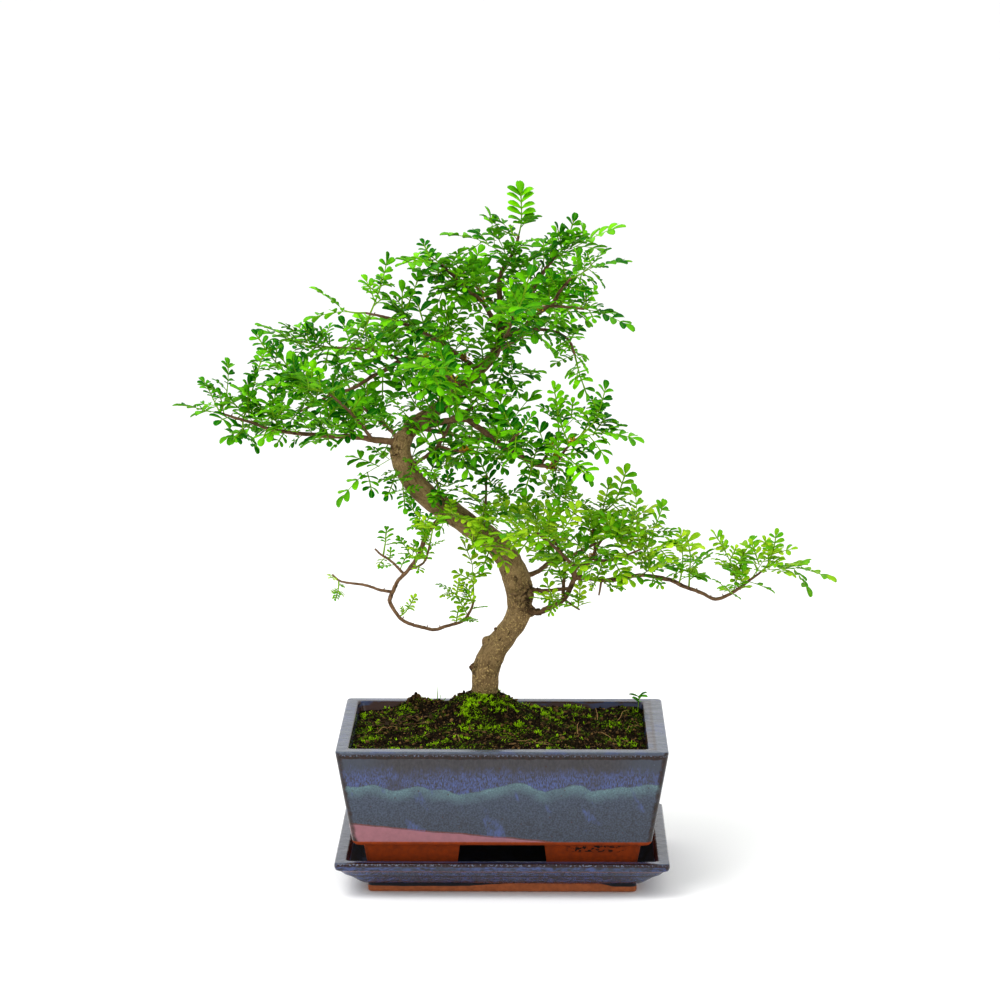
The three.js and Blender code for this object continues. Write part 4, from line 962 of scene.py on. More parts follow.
def pot_material(hues):
    """The pot's glaze in bands over bare clay."""
    made, place = piece_material("pot_glaze")
    x, _, z = axes_of(place)
    taper = (RIM_HALF - POT_BASE_HALF) / (POT_RIM_Z - POT_BASE_Z)
    inputs = {
        "Place": place, "Half Width": z * taper + (POT_BASE_HALF - taper * POT_BASE_Z),
        "Lip Low": 0.1138, "Lip High": 0.1172, "Lip Width": 0.0026, "Corner Width": 0.0054,
    }
    edge = use_group(place.tree, "thin_edge", inputs)
    inside = edge["Inside"]
    fine = grain(place, 0.0014, 4.0, None, 0.7)
    above_wedge = z - shifted(x * -0.094, grain(place, 0.03), 0.003)
    thin = mottled(place, 0.006, 0.3, hues.lavender * 0.82, hues.lavender)
    flow = mix(step(above_wedge, 0.0486, 0.0478), pot_sides(place, hues), thin)
    clay_line = between(shifted(above_wedge, fine, 0.001), 0.0484, 0.0492, 0.0006)
    flow = mix(clay_line * 0.5, flow, hues.clay * 0.8)
    foot_specks = step(grain(place, 0.0026, 2.0, (0.7, 1, 1.3)), 0.50, 0.55)
    foot_specks = foot_specks * step(grain(place, 0.012, 1.0), 0.28, 0.4)
    foot_specks = foot_specks * between(x, 0.052, 0.095, 0.006) * between(z, 0.0345, 0.0402, 0.001)
    clay = mottled(place, 0.004, 0.25, hues.clay * 0.66, hues.clay)
    clay = mix(foot_specks, clay, hues.edge_brown * 0.2)
    rim = mottled(place, 0.0035, 0.3, hues.rim * 0.72, hues.rim * 1.1)
    rim = mix(step(grain(place, 0.022, 3.0), 0.5, 0.64) * 0.5, rim, hues.violet * 0.9)
    on_top = step(z, 0.1172, 0.1180) * step(shifted(inside, fine, 0.002), -0.0004, 0.0008)
    flow = mix(on_top, flow, rim)
    inner = step(inside, 0.0095, 0.0110) * step(shifted(z, fine, 0.002), 0.1202, 0.1192)
    blue_inside = step(grain(place, 0.010, 2.0, (0.5, 0.5, 1.6)), 0.46, 0.6)
    flow = mix(inner, flow, mix(blue_inside, hues.edge_brown, hues.violet * 0.5))
    patchy = step(grain(place, 0.007, 3.0), 0.3, 0.45) * 0.15 + 0.85
    brown = mottled(place, 0.0022, 0.2, hues.edge_brown * 0.05, hues.edge_brown * 0.7)
    inner_edge = on_top * between(shifted(inside, fine, 0.003), 0.0092, 0.0118, 0.0006)
    edges = math_of("MAXIMUM", edge["Mask"] * patchy, inner_edge * patchy * 0.8)
    # Painted highlights: pale glints painted along the top of the rim's lip.
    flow = with_painted_glints(place, edge["Lip"] * step(z, 0.1158, 0.1166), mix(edges, flow, brown), hues)
    from_flaw = add_node(
        place.tree, "VectorMath", {0: place, 1: (0.077, -0.106, 0.1192)}, operation="DISTANCE"
    )[1]
    flaw = step(shifted(from_flaw, fine, 0.002), 0.0042, 0.0024)
    flow = mix(flaw * 0.7, flow, hues.edge_brown * 0.6)
    bare = step(shifted(z, fine, 0.0016), 0.0455, 0.0443)
    rough = grain(place, 0.004, 2.0) * 0.16 + (hues.gloss - 0.05)
    height = grain(place, 0.012, 2.0) * 0.7 - flaw + fine * 0.04
    return finish_material(
        made, mix(bare, flow, clay), math_of("ADD", rough, bare * 0.62, clamp=True), 0.42,
        height, 0.0012, 0.6,
    )


def with_painted_glints(place, where, glaze, hues):
    """A glaze with painted glints along its lip: pale specks of painted highlight."""
    # Painted highlights: pale specks in the colour where the glossy lip would glint.
    painted_glints = where * step(grain(place, 0.0016, 3.0), 0.52, 0.60) * 0.5
    return mix(painted_glints, glaze, hues.rim * 2.6)


def saucer_material(hues):
    """The saucer's streaky blue glaze, brown where it thins, over a bare clay foot, with painted shade on
    the floor under the pot.
    """
    made, place = piece_material("saucer_glaze")
    place = mapped(place, Location=(0, MIDDLE.y - (SAUCER_LOW.y + SAUCER_HIGH.y) / 2, 0))
    x, _, z = axes_of(place)
    inputs = {
        "Place": place, "Half Width": (SAUCER_HIGH.x - SAUCER_LOW.x) / 2,
        "Lip Low": 0.0264, "Lip High": 0.0286, "Lip Width": 0.0026, "Corner Width": 0.0046,
    }
    edge = use_group(place.tree, "thin_edge", inputs)
    inside = edge["Inside"]
    layers = mapped(place, Scale=(0.4, 0.4, 1))
    fine = grain(place, 0.0014, 4.0, None, 0.7)
    ragged = shifted(inside, fine, 0.002)
    glaze = mottled(layers, 0.0018, 0.16, hues.shade * 0.7, hues.violet)
    glaze = mix(step(grain(place, 0.02, 3.0), 0.42, 0.62) * 0.5, glaze, hues.slate)
    glaze = mix(step(grain(place, 0.0016, 3.0), 0.56, 0.64) * 0.5, glaze, hues.shade * 0.6)
    crease = between(shifted(z, fine, 0.0014), 0.0214, 0.0230, 0.0005)
    crease = crease * step(inside, 0.0062, 0.0052) * 0.8
    glaze = mix(crease, glaze, hues.clay * 0.3 + hues.rim * 0.7)
    along_front = step(abs(x), 0.124, 0.119)
    rim = mottled(place, 0.003, 0.3, hues.rim * 0.5, hues.rim * 0.9)
    rim = mix(along_front * 0.75, rim, hues.violet * 0.5)
    top = step(z, 0.0282, 0.0288) * step(inside, 0.0, 0.001)
    glaze = mix(top * 0.9, glaze, rim)
    brown = mottled(place, 0.002, 0.25, hues.edge_brown * 0.1, hues.edge_brown * 0.8)
    outer_line = top * along_front * step(ragged, 0.0036, 0.0024)
    inner_line = between(ragged, 0.0084, 0.0112, 0.0005) * 0.75
    glaze = mix(math_of("MAXIMUM", outer_line, inner_line), glaze, brown)
    glaze = mix(edge["Mask"] * 0.9, glaze, brown)
    # Painted highlights: pale glints painted along the saucer's lip.
    glaze = with_painted_glints(place, edge["Lip"] * step(z, 0.0272, 0.0278), glaze, hues)
    # Painted shade: the floor of the saucer's well, under the pot, is painted near black where the pot
    # keeps the light off.
    well = step(inside, 0.0112, 0.0122) * step(z, 0.0158, 0.0164)
    glaze = mix(well, glaze, mottled(place, 0.012, 0.12, hues.edge_brown * 0.08, hues.violet * 0.16))
    deep_run = math_of("MAXIMUM", step(x, 0.012, -0.035), step(x, 0.074, 0.090))
    bare_top = shifted(deep_run * -0.0026 + 0.0070, grain(place, 0.012), 0.0012)
    bare = step(z - bare_top, 0.0005, -0.0003) * (1 - well)
    clay = mottled(place, 0.004, 0.25, hues.saucer_foot * 0.7, hues.saucer_foot)
    glaze = mix(step(z, 0.0078, 0.0068) * (1 - well), glaze, hues.slate * 0.15)
    rough = math_of("ADD", bare * 0.6 + hues.gloss, well * 0.8, clamp=True)
    height = grain(place, 0.01, 2.0) * 0.7 + fine * 0.04
    return finish_material(made, mix(bare, glaze, clay), rough, 0.42, height, 0.001, 0.6)


def plastic_material():
    """Dull black plastic with a fine moulded grain."""
    made, place = piece_material("drain_mesh")
    shade = mix(grain(place, 0.002, 2.0), (0.012, 0.012, 0.012), (0.04, 0.04, 0.04))
    return finish_material(made, shade, 0.6, 0.5, grain(place, 0.0005, 2.0), 0.0001)


def soil_material(hues):
    """Damp dark soil with dry crumbs and a low green bloom in places."""
    made, place = piece_material("soil")
    earth = mottled(place, 0.0026, 0.2, hues.earth * 0.25, hues.earth)
    shade = mix(step(grain(place, 0.0013, 4.0), 0.58, 0.70) * 0.8, earth, hues.earth_light)
    bloom = step(grain(place, 0.024, 3.0), 0.44, 0.58) * step(grain(place, 0.0020, 3.0), 0.42, 0.56)
    # Random spots of lighter green in the bloom.
    lighter_bloom = step(grain(place, 0.0015, 3.0), 0.45, 0.65)
    shade = mix(bloom * 0.9, shade, mix(lighter_bloom, hues.moss_dark * 0.6, hues.moss_light * 0.35))
    height = grain(place, 0.003, 4.0) + grain(place, 0.0008, 2.0) * 0.3
    return finish_material(made, shade, 0.92, 0.06, height, 0.002)


def attribute_of(tree, name):
    return add_node(tree, "Attribute", attribute_name=name, attribute_type="GEOMETRY")


def tone_of(tree):
    """The piece's own tone: shade, underside, chance and stalk."""
    tone = attribute_of(tree, "tone")
    return [*add_node(tree, "SeparateColor", {0: tone[0]}), tone[3]]


def toned_material(name, low, high, rough, grain_size=0.0008):
    """A matt material whose tone runs between two colours with a fine grain."""
    made, place = piece_material(name)
    fine = grain(place, grain_size, 2.0) * 0.5 - 0.25
    share = math_of("ADD", tone_of(place.tree)[0], fine, clamp=True)
    height = grain(place, grain_size, 3.0)
    return finish_material(made, mix(share, low, high), rough, 0.06, height, 0.0002)


def bark_material(hues):
    """Brown bark with fine fibres along the grain, pale specks, and green at the soil."""
    made, place = piece_material("bark")
    z = axes_of(place)[2]
    girth, scar = tone_of(place.tree)[:2]
    along_grain = attribute_of(place.tree, "grain")[1]
    fibres = grain(along_grain, 0.0010, 4.0, (1, 1, 0.22), 0.65)
    ridges = grain(along_grain, 0.0042, 3.0, (1, 1, 0.35), 0.6)
    rough_bark = grain(place, 0.0016, 3.0, None, 0.65)
    bark = mottled(place, 0.009, 0.3, hues.bark * 0.45 + hues.bark_dark * 0.55, hues.bark)
    twig = mottled(place, 0.003, 0.2, hues.twig * 0.6, hues.twig)
    # The bark is darker where its fibres and lumps sink.
    sunken_bark = math_of("MAXIMUM", step(fibres, 0.5, 0.38), step(rough_bark, 0.48, 0.36))
    shade = mix(sunken_bark * 0.5, mix(step(girth, 0.22, 0.5), twig, bark), hues.bark_dark)
    cracks = step(ridges, 0.42, 0.33) * step(fibres, 0.56, 0.46) * 0.6
    folds = scar * step(grain(place, 0.0035, 3.0), 0.50, 0.42) * 0.85
    cracks = math_of("MAXIMUM", cracks, folds)
    shade = mix(cracks, shade, hues.bark_dark * 0.42)
    pale = step(grain(place, 0.0015, 2.0), 0.565, 0.62) * step(grain(place, 0.014, 2.0), 0.34, 0.5)
    pale = pale * step(girth, 0.5, 0.8) * (step(z, 0.26, 0.20) * 0.75 + 0.25)
    shade = mix(pale * 0.8, shade, hues.lenticel)
    algae = step(shifted(z, grain(place, 0.008, 3.0), 0.03), 0.150, 0.128)
    shade = mix(algae * step(rough_bark, 0.35, 0.6) * 0.7, shade, hues.algae)
    height = fibres * 0.4 + rough_bark * 0.5 + (ridges * 0.9 + pale * 0.3) - cracks
    return finish_material(made, shade, 0.78, 0.15, height, 0.0012)


def leaf_group():
    """A leaf's colour: two greens, a paler rib and underside, and green stalks."""
    green = (0, 0.4, 0, 1)
    tree, entry, leave = make_group(
        "leaf_tone",
        {"Dark": green, "Light": green, "Underside Colour": green, "Stalk Colour": green,
         "Place": None, "Leaf Place": None, "Shade": 0.5, "Underside": 0.0, "Chance": 0.5,
         "Stalk": 0.0},
        {"Colour": "Color", "Height": "Float"},
    )
    across, lengthwise, _ = axes_of(entry["Leaf Place"])
    blotch = grain(entry["Place"], 0.004, 2.0) * 0.5 - 0.25
    chance = entry["Chance"] * 0.4 - 0.2
    share = math_of("ADD", entry["Shade"] + blotch, chance, clamp=True)
    from_rib = abs(across - 0.5)
    rib = step(from_rib, 0.07, 0.02)
    vein = step(math_of("SINE", (lengthwise - from_rib) * 40.0), 0.6, 1.0)
    pale = math_of("MAXIMUM", rib * 0.5, vein * 0.12)
    shade = mix(pale, mix(share, entry["Dark"], entry["Light"]), entry["Underside Colour"])
    shade = mix(entry["Underside"] * 0.55, shade, entry["Underside Colour"])
    plug(tree, leave["Colour"], mix(entry["Stalk"], shade, entry["Stalk Colour"]))
    plug(tree, leave["Height"], 1 - math_of("MAXIMUM", rib, vein))
    return tree


def leaf_material(name, dark, light, hues):
    """A smooth, slightly glossy leaf."""
    made, place = piece_material(name)
    tree = place.tree
    shade, underside, chance, stalk = tone_of(tree)
    leaf = use_group(
        tree, "leaf_tone",
        {"Dark": dark, "Light": light, "Underside Colour": hues.underside,
         "Stalk Colour": hues.stalk, "Place": place,
         "Leaf Place": add_node(tree, "UVMap", uv_map="leaf")[0], "Shade": shade,
         "Underside": underside, "Chance": chance, "Stalk": stalk},
    )
    shader = tree.nodes["Principled BSDF"].inputs
    shader["Subsurface Weight"].default_value = 0.12
    shader["Subsurface Radius"].default_value = (0.5, 1.0, 0.1)
    shader["Subsurface Scale"].default_value = 0.0012
    rough = underside * 0.2 + 0.42
    return finish_material(made, leaf["Colour"], rough, 0.1, leaf["Height"], 0.00008)


GROUPS = {"mottle": mottle_group, "thin_edge": thin_edge_group, "leaf_tone": leaf_group}


def draw_out(width, z, rows, shift=0.0):
    """Extrudes the selected face through rows of (half width, height), back from a side shift."""
    for next_width, next_z in rows:
        bpy.ops.mesh.extrude_region_move(TRANSFORM_OT_translate={"value": (-shift, 0, next_z - z)})
        resize_to(width, next_width, next_z)
        width, z, shift = next_width, next_z, 0.0


def resize_to(width, next_width, z):
    """Resizes the selection from one half width to another, and its half depth with it."""
    bpy.ops.transform.resize(
        value=(next_width / width, (next_width - NARROWER) / (width - NARROWER), 1),
        center_override=(MIDDLE.x, MIDDLE.y, z),
    )


def add_block(name, half_width, low, high, half_depth=None):
    """A box round the pot's middle between two heights."""
    piece = add_shape(
        "cube", name, size=2, location=(MIDDLE.x, MIDDLE.y, (low + high) / 2),
        scale=(half_width, half_depth or half_width - NARROWER, (high - low) / 2),
    )
    apply_place(piece)
    return piece


def bevel_upright_edges(piece, radius, segments):
    """Rounds the edges that rise from one level to another."""
    pick(piece, "edges", lambda first, second: abs(first.z - second.z) > 0.0001)
    bpy.ops.mesh.bevel(offset=radius, segments=segments, affect="EDGES")


def cut(piece, tool, operation="DIFFERENCE"):
    """Cuts a tool out of a piece, or joins it on, and removes the tool."""
    finish_with(piece, "BOOLEAN", object=tool, operation=operation, solver="EXACT")
    remove_piece(tool)


def build_pot(settings):
    """The pot: a tapered box with round corners, an open top, four feet and two drain holes."""
    pot = add_block("pot_shell", POT_BASE_HALF, POT_BASE_Z, POT_RIM_Z)
    pick(pot, "faces", lambda centre, normal: normal.z > 0.9)
    resize_to(POT_BASE_HALF, RIM_HALF, POT_RIM_Z)
    bpy.ops.mesh.inset(thickness=settings.rim_thickness)
    bpy.ops.transform.translate(value=(OPENING_SHIFT * MM, 0, 0))
    floor = (POT_BASE_HALF - settings.rim_thickness, POT_BASE_Z + settings.floor)
    draw_out(RIM_HALF - settings.rim_thickness, POT_RIM_Z, [floor], OPENING_SHIFT * MM)
    bevel_upright_edges(pot, settings.corner, 6)
    pick(pot, "edges", lambda first, second: max(first.z, second.z) < POT_BASE_Z + 0.0001)
    bpy.ops.mesh.bevel(offset=settings.base_edge, segments=5, affect="EDGES")
    finish_with(pot, "BEVEL", width=settings.edge, segments=4, angle_limit=math.radians(35))
    cut(pot, build_feet(settings), "UNION")
    for x in (-55, 55):
        drain = add_shape(
            "cylinder", "drain", vertices=40, radius=9 * MM, depth=6 * settings.floor,
            location=(MIDDLE.x + x * MM, MIDDLE.y, POT_BASE_Z),
        )
        apply_place(drain)
        cut(pot, drain)
    mend(pot)
    return pot


def build_feet(settings):
    """Four angular feet: a hollow tapered box with a slot through each side."""
    foot_half, taper, ring = 110 * MM, 5 * MM, 24 * MM
    top = POT_BASE_Z + 3 * MM
    feet = add_block("feet", foot_half - taper, FOOT_Z, top)
    pick(feet, "faces", lambda centre, normal: normal.z > 0.9)
    resize_to(foot_half - taper, foot_half, top)
    bevel_upright_edges(feet, settings.corner, 6)
    slots = (
        (foot_half - ring, foot_half - ring - NARROWER, 0.0),
        (33 * MM, 2 * foot_half, 4 * MM),
        (2 * foot_half, 24 * MM, 2 * MM),
    )
    for half_width, half_depth, flare in slots:
        slot = add_block("slot", half_width, FOOT_Z - 10 * MM, POT_BASE_Z, half_depth)
        if flare:
            pick(slot, "faces", lambda centre, normal: normal.z < -0.9)
            narrow = min(half_width, half_depth)
            grow = (narrow + flare) / narrow
            value = (grow, 1, 1) if half_width < half_depth else (1, grow, 1)
            bpy.ops.transform.resize(value=value, center_override=tuple(MIDDLE))
        cut(feet, slot)
    finish_with(feet, "BEVEL", width=0.9 * MM, segments=3, angle_limit=math.radians(35))
    return feet


def build_saucer(settings):
    """The saucer: a flared tray with a heavy lip on a low foot ring."""
    rim = (SAUCER_HIGH.x - SAUCER_LOW.x) / 2
    top = SAUCER_HIGH.z
    foot, foot_height = 106 * MM, 7.3 * MM
    saucer = add_block("saucer_tray", foot, 0, foot_height)
    pick(saucer, "faces", lambda centre, normal: normal.z > 0.9)
    flare = [
        (foot + out * MM, foot_height + rise * MM) for out, rise in ((4, 0.8), (8, 3.6), (13, 8), (18, 11))
    ]
    lip = [(rim - back * MM, top - drop * MM) for back, drop in ((4, 7.4), (0.8, 6), (0, 3), (0.4, 0))]
    well = [(rim - settings.saucer_wall, top), (112 * MM, 17 * MM)]
    draw_out(foot, foot_height, flare + lip + well)
    pick(saucer, "faces", lambda centre, normal: normal.z < -0.9 and centre.z < 0.001)
    bpy.ops.mesh.inset(thickness=13 * MM)
    draw_out(foot - 13 * MM, 0, [(foot - 15 * MM, 10 * MM)])
    bevel_upright_edges(saucer, settings.saucer_corner, 5)
    finish_with(saucer, "BEVEL", width=1.1 * MM, segments=3, angle_limit=math.radians(25))
    open_all(saucer)
    bpy.ops.transform.translate(value=(0, (SAUCER_LOW.y + SAUCER_HIGH.y) / 2 - MIDDLE.y, 0))
    mend(saucer)
    return saucer


def rough_soil(x, y):
    """The soil's surface with its crumbs, in millimetres."""
    place = Vector((x, y, 0))
    height = bpy.context.scene.bonsai_soil.roughness / MM
    coarse = noise.fractal(place * 0.16, 0.9, 2.1, 4)
    fine = noise.fractal(place * 0.62 + Vector((7, 3, 1)), 0.8, 2.1, 3)
    return soil_height(x, y) + height * (1.1 * coarse + 0.8 * fine)


def soil_edge(z):
    """The half width and the side shift of the pot's opening at a height, in millimetres."""
    low, high = POT_BASE_Z / MM + FLOOR, POT_RIM_Z / MM
    share = (z - low) / (high - low)
    opening = RIM_HALF / MM - WALL
    floor = POT_BASE_HALF / MM - WALL
    return floor + share * (opening - floor) - 0.3, OPENING_SHIFT * share


def build_soil(settings):
    """The soil: a fine rough surface that meets the walls, closed down to the pot's floor."""
    half, shift = soil_edge(SOIL_EDGE_Z + 1.5)
    half_depth = half - NARROWER / MM
    cell = settings.cell / MM
    soil = add_shape(
        "grid", "soil_bed", x_subdivisions=round(2 * half / cell),
        y_subdivisions=round(2 * half_depth / cell), size=2,
        location=(MIDDLE.x + shift * MM, MIDDLE.y, SOIL_EDGE_Z * MM),
    )
    soil.scale = (half * MM, half_depth * MM, 1)
    apply_place(soil)
    corner = 6
    for vertex in soil.data.vertices:
        x, y = (vertex.co.x - MIDDLE.x) / MM, (vertex.co.y - MIDDLE.y) / MM
        over_x = abs(x - shift) - (half - corner)
        over_y = abs(y) - (half_depth - corner)
        if over_x > 0 and over_y > 0 and math.hypot(over_x, over_y) > corner:
            shrink = corner / math.hypot(over_x, over_y)
            x = shift + math.copysign(half - corner + over_x * shrink, x - shift)
            y = math.copysign(half_depth - corner + over_y * shrink, y)
        vertex.co = to_frame((x, y, rough_soil(x, y)))
    only(soil)
    bpy.context.tool_settings.mesh_select_mode = (False, True, False)
    bpy.ops.object.mode_set(mode="EDIT")
    bpy.ops.mesh.select_all(action="DESELECT")
    bpy.ops.mesh.select_non_manifold(extend=False)
    bottom = POT_BASE_Z / MM + 10.5
    bpy.ops.mesh.extrude_region_move(TRANSFORM_OT_translate={"value": (0, 0, -40 * MM)})
    floor_half, floor_shift = soil_edge(bottom)
    bpy.ops.transform.resize(
        value=(floor_half / half, (floor_half - NARROWER / MM) / half_depth, 0),
        center_override=(MIDDLE.x + shift * MM, MIDDLE.y, bottom * MM),
    )
    bpy.ops.transform.translate(value=((floor_shift - shift) * MM, 0, 0))
    bpy.ops.mesh.edge_face_add()
    mend(soil, 60)
    # The rough top can mislead the turning of the faces, so the flat bottom decides.
    flat_bottom = max(soil.data.polygons, key=lambda face: face.area)
    if flat_bottom.normal.z > 0:
        open_all(soil)
        bpy.ops.mesh.flip_normals()
        deselect_all()
    return soil


def turn_matrix(draw):
    """A random rotation."""
    angles = [2 * math.pi * draw() for _ in range(3)]
    turned = np.eye(3)
    for axis, angle in enumerate(angles):
        c, s = math.cos(angle), math.sin(angle)
        i, j = (axis + 1) % 3, (axis + 2) % 3
        part = np.eye(3)
        part[i, i], part[i, j], part[j, i], part[j, j] = c, -s, s, c
        turned = turned @ part
    return turned


def crumb_template():
    """A lumpy crumb of radius 1, modelled once."""
    crumb = add_shape("ico_sphere", "crumb", subdivisions=1, radius=1)
    open_all(crumb)
    bpy.ops.transform.vertex_random(offset=0.25, uniform=0.5, seed=3)
    return take_template(crumb)


def on_soil(draw, middle_x=0.0, middle_y=0.0, spread=None):
    """A place on the soil: anywhere, or round a middle."""
    while True:
        if spread is None:
            x, y = -3 + 226 * (draw() - 0.5), 156 * (draw() - 0.5)
        else:
            angle, reach = 2 * math.pi * draw(), spread * math.sqrt(draw())
            x, y = middle_x + reach * math.cos(angle), middle_y + reach * math.sin(angle)
        clear_of_trunk = math.hypot(x - TRUNK_X, y - TRUNK_Y) > 11
        if abs(x + 3) < 113 and abs(y) < 78 and clear_of_trunk:
            return x, y


def build_crumbs(settings):
    """Loose crumbs and small clods on the soil, with a heap of them at the back left."""
    draw = seeded_draw(31)
    points, faces = crumb_template()
    heap = Heap()

    def drop(x, y, size, rise, tone):
        shape = points * np.array([size, size * (0.7 + 0.5 * draw()), size * (0.6 + 0.4 * draw())])
        z = rough_soil(x, y) + rise
        heap.add(shape @ turn_matrix(draw).T + np.array([x, y, z]), faces, (tone, 0, 0, 0))

    for _ in range(settings.crumbs):
        x, y = on_soil(draw)
        size = 0.5 + 1.5 * draw() ** 3
        drop(x, y, size, 0.25 * size, draw() ** 2)
    clods = ((-72, 70, 7.5, 90, 4.0), (-58, 66, 8, 60, 1.5), (-30, 52, 14, 60, 0.5))
    for middle_x, middle_y, spread, number, pile in clods:
        for _ in range(number):
            x, y = on_soil(draw, middle_x, middle_y, spread)
            near = 1 - math.hypot(x - middle_x, y - middle_y) / spread
            drop(x, y, 0.9 + 1.6 * draw(), pile * near * draw(), 0.5 * draw())
    return heap.piece("soil_crumbs", 50)


def shoot_template():
    """A moss shoot of length 1: a thin blade that tapers, modelled once; each copy is set leaning."""
    shoot = add_shape("cone", "shoot", vertices=3, radius1=0.14, radius2=0.03, depth=1)
    open_all(shoot)
    bpy.ops.transform.translate(value=(0, 0, 0.5))
    return take_template(shoot)


def frame_of(way, spin):
    """A rotation whose third axis runs a way, turned about it by a spin."""
    side = square_to(np.array([0.31, 0.77, 0.56]), way)
    beside = np.cross(way, side)
    first = side * math.cos(spin) + beside * math.sin(spin)
    return np.column_stack([first, np.cross(way, first), way])


def build_moss(settings):
    """Moss: tufts of fine shoots in patches, thickest in front of the trunk."""
    draw = seeded_draw(57)
    points, faces = shoot_template()
    heap = Heap()
    tall = settings.tuft_height / MM

    def tuft(x, y, shoots, size, bright=1.0):
        tone = bright * (0.25 + 1.25 * draw() ** 1.4)
        z = rough_soil(x, y)
        for _ in range(shoots):
            way = unit(direction(360 * draw(), 25 + 60 * draw()))
            long = size * (0.6 + 0.6 * draw())
            shape = points * np.array([0.75 * size, 0.75 * size, long])
            tones = np.zeros((len(points), 4))
            # Each shoot runs from dark at its foot to bright at its tip: partly the moss's own colour,
            # partly painted shade low among the shoots.
            tones[:, 0] = np.clip(tone * (1.5 * points[:, 2] - 0.2), 0, 1)
            foot = np.array([x + 1.4 * (draw() - 0.5), y + 1.4 * (draw() - 0.5), z - 0.4])
            heap.add(shape @ frame_of(way, 6 * draw()).T + foot, faces, tones)

    for middle_x, middle_y, spread, tufts in MOSS:
        for _ in range(round(0.6 * tufts)):
            x, y = on_soil(draw, middle_x, middle_y, spread)
            tuft(x, y, 9, tall * (0.45 + 0.6 * draw()))
    for _ in range(320):
        x, y = on_soil(draw)
        tuft(x, y, 6, 0.42 * tall, 0.6)
    for _ in range(90):
        x, y = on_soil(draw)
        tuft(x, y, 7, 0.8 * tall)
    return heap.piece("moss", 60)


def tube(heap, path, radii, sides=5, tone=(0, 0, 0, 0)):
    """Adds a closed tube along a path of points to a heap."""
    path = np.asarray(path, float)
    radii = np.broadcast_to(radii, len(path))
    across = np.array([0.37, 0.21, 0.91])
    angles = 2 * math.pi * np.arange(sides) / sides
    rings = []
    for i, point in enumerate(path):
        way = unit(path[min(i + 1, len(path) - 1)] - path[max(i - 1, 0)])
        across = square_to(across, way)
        circle = np.outer(np.cos(angles), across) + np.outer(np.sin(angles), np.cross(way, across))
        rings.append(point + radii[i] * circle)
    heap.add_bar(rings, tone)


def build_litter():
    """Dry straws, fibres and flat bark chips on the soil."""
    draw = seeded_draw(83)
    heap = Heap()
    for start, end, rise in STRAWS:
        shares = np.linspace(0, 1, 9)
        bend = 3 * (draw() - 0.5)
        path = []
        for share in shares:
            x = start[0] + (end[0] - start[0]) * share + bend * math.sin(math.pi * share)
            y = start[1] + (end[1] - start[1]) * share
            z = rough_soil(x, y) + 0.4 + rise * math.sin(math.pi * share)
            path.append((x, y, z))
        tube(heap, path, 0.32 * (1 - 0.5 * shares), 4, (0.75 + 0.25 * draw(), 0, 0, 0))
    for _ in range(150):
        x, y = on_soil(draw)
        heading, long = 2 * math.pi * draw(), 2 + 5 * draw()
        path = []
        for share in (-0.5, 0.0, 0.5):
            place = (x + long * share * math.cos(heading), y + long * share * math.sin(heading))
            path.append((*place, rough_soil(*place) + 0.35 + 0.5 * draw()))
        tube(heap, path, 0.16, 3, (0.35 + 0.5 * draw(), 0, 0, 0))
    points, faces = crumb_template()
    for number in range(130):
        spot = (-84, 20, 26) if number < 80 else (0, 0, None)
        x, y = on_soil(draw, *spot)
        shape = points * np.array([2.5 + 4.5 * draw(), 0.9 + 1.2 * draw(), 0.35])
        tilt = direction(360 * draw(), 60 + 25 * draw())
        z = rough_soil(x, y) + 0.5
        turned = shape @ frame_of(tilt, 6 * draw()).T
        heap.add(turned + np.array([x, y, z]), faces, (0.04 + 0.3 * draw() ** 2, 0, 0, 0))
    return heap.piece("soil_litter", 40)


def gnarled(rows, draw, step_length=2.5):
    """A branch's smooth path with the small bends and knobs of grown wood."""
    path = smooth_path(rows, step_length)
    for i in range(1, len(path) - 1):
        radius = path[i, 3]
        bend = 0.22 if radius < 6 else 0.07
        path[i, :3] += [bend * radius * (draw() - 0.5) for _ in range(3)]
        path[i, 3] = radius * (1.02 + 0.6 * bend * (draw() - 0.5))
    return path


def add_curves(name, paths, sides):
    """One curve object with a round bar along each path, made a mesh."""
    curve = bpy.data.curves.new(name, "CURVE")
    curve.dimensions = "3D"
    curve.bevel_depth = MM
    curve.bevel_resolution = sides
    curve.use_fill_caps = True
    for path in paths:
        spline = curve.splines.new("POLY")
        spline.points.add(len(path) - 1)
        places = np.column_stack([to_frame(path[:, :3]), np.ones(len(path))])
        spline.points.foreach_set("co", places.ravel())
        spline.points.foreach_set("radius", path[:, 3])
    piece = bpy.data.objects.new(name, curve)
    bpy.context.scene.collection.objects.link(piece)
    only(piece)
    bpy.ops.object.convert(target="MESH")
    return bpy.context.object


def displace(piece, size, strength, kind="CLOUDS"):
    """Pushes a surface in and out by a cloudy pattern of a size, in metres."""
    texture = bpy.data.textures.new(f"{piece.name}_{size}", kind)
    texture.noise_scale = size
    finish_with(
        piece, "DISPLACE", texture=texture, texture_coords="LOCAL", strength=strength, mid_level=0.5,
    )


def branch_frames():
    """Points along all branches: place, radius, two ways across and the distance along, in mm."""
    rows = []
    for limb in LIMBS.values():
        path = smooth_path(limb, 3)
        travel, across = 0.0, None
        for i in range(len(path)):
            axis = unit(path[min(i + 1, len(path) - 1), :3] - path[max(i - 1, 0), :3])
            across = square_to(np.array([0.3, -0.9, 0.2]) if across is None else across, axis)
            travel += np.linalg.norm(path[i, :3] - path[max(i - 1, 0), :3])
            rows.append([*path[i], *across, *np.cross(axis, across), *axis, travel])
    return np.array(rows)


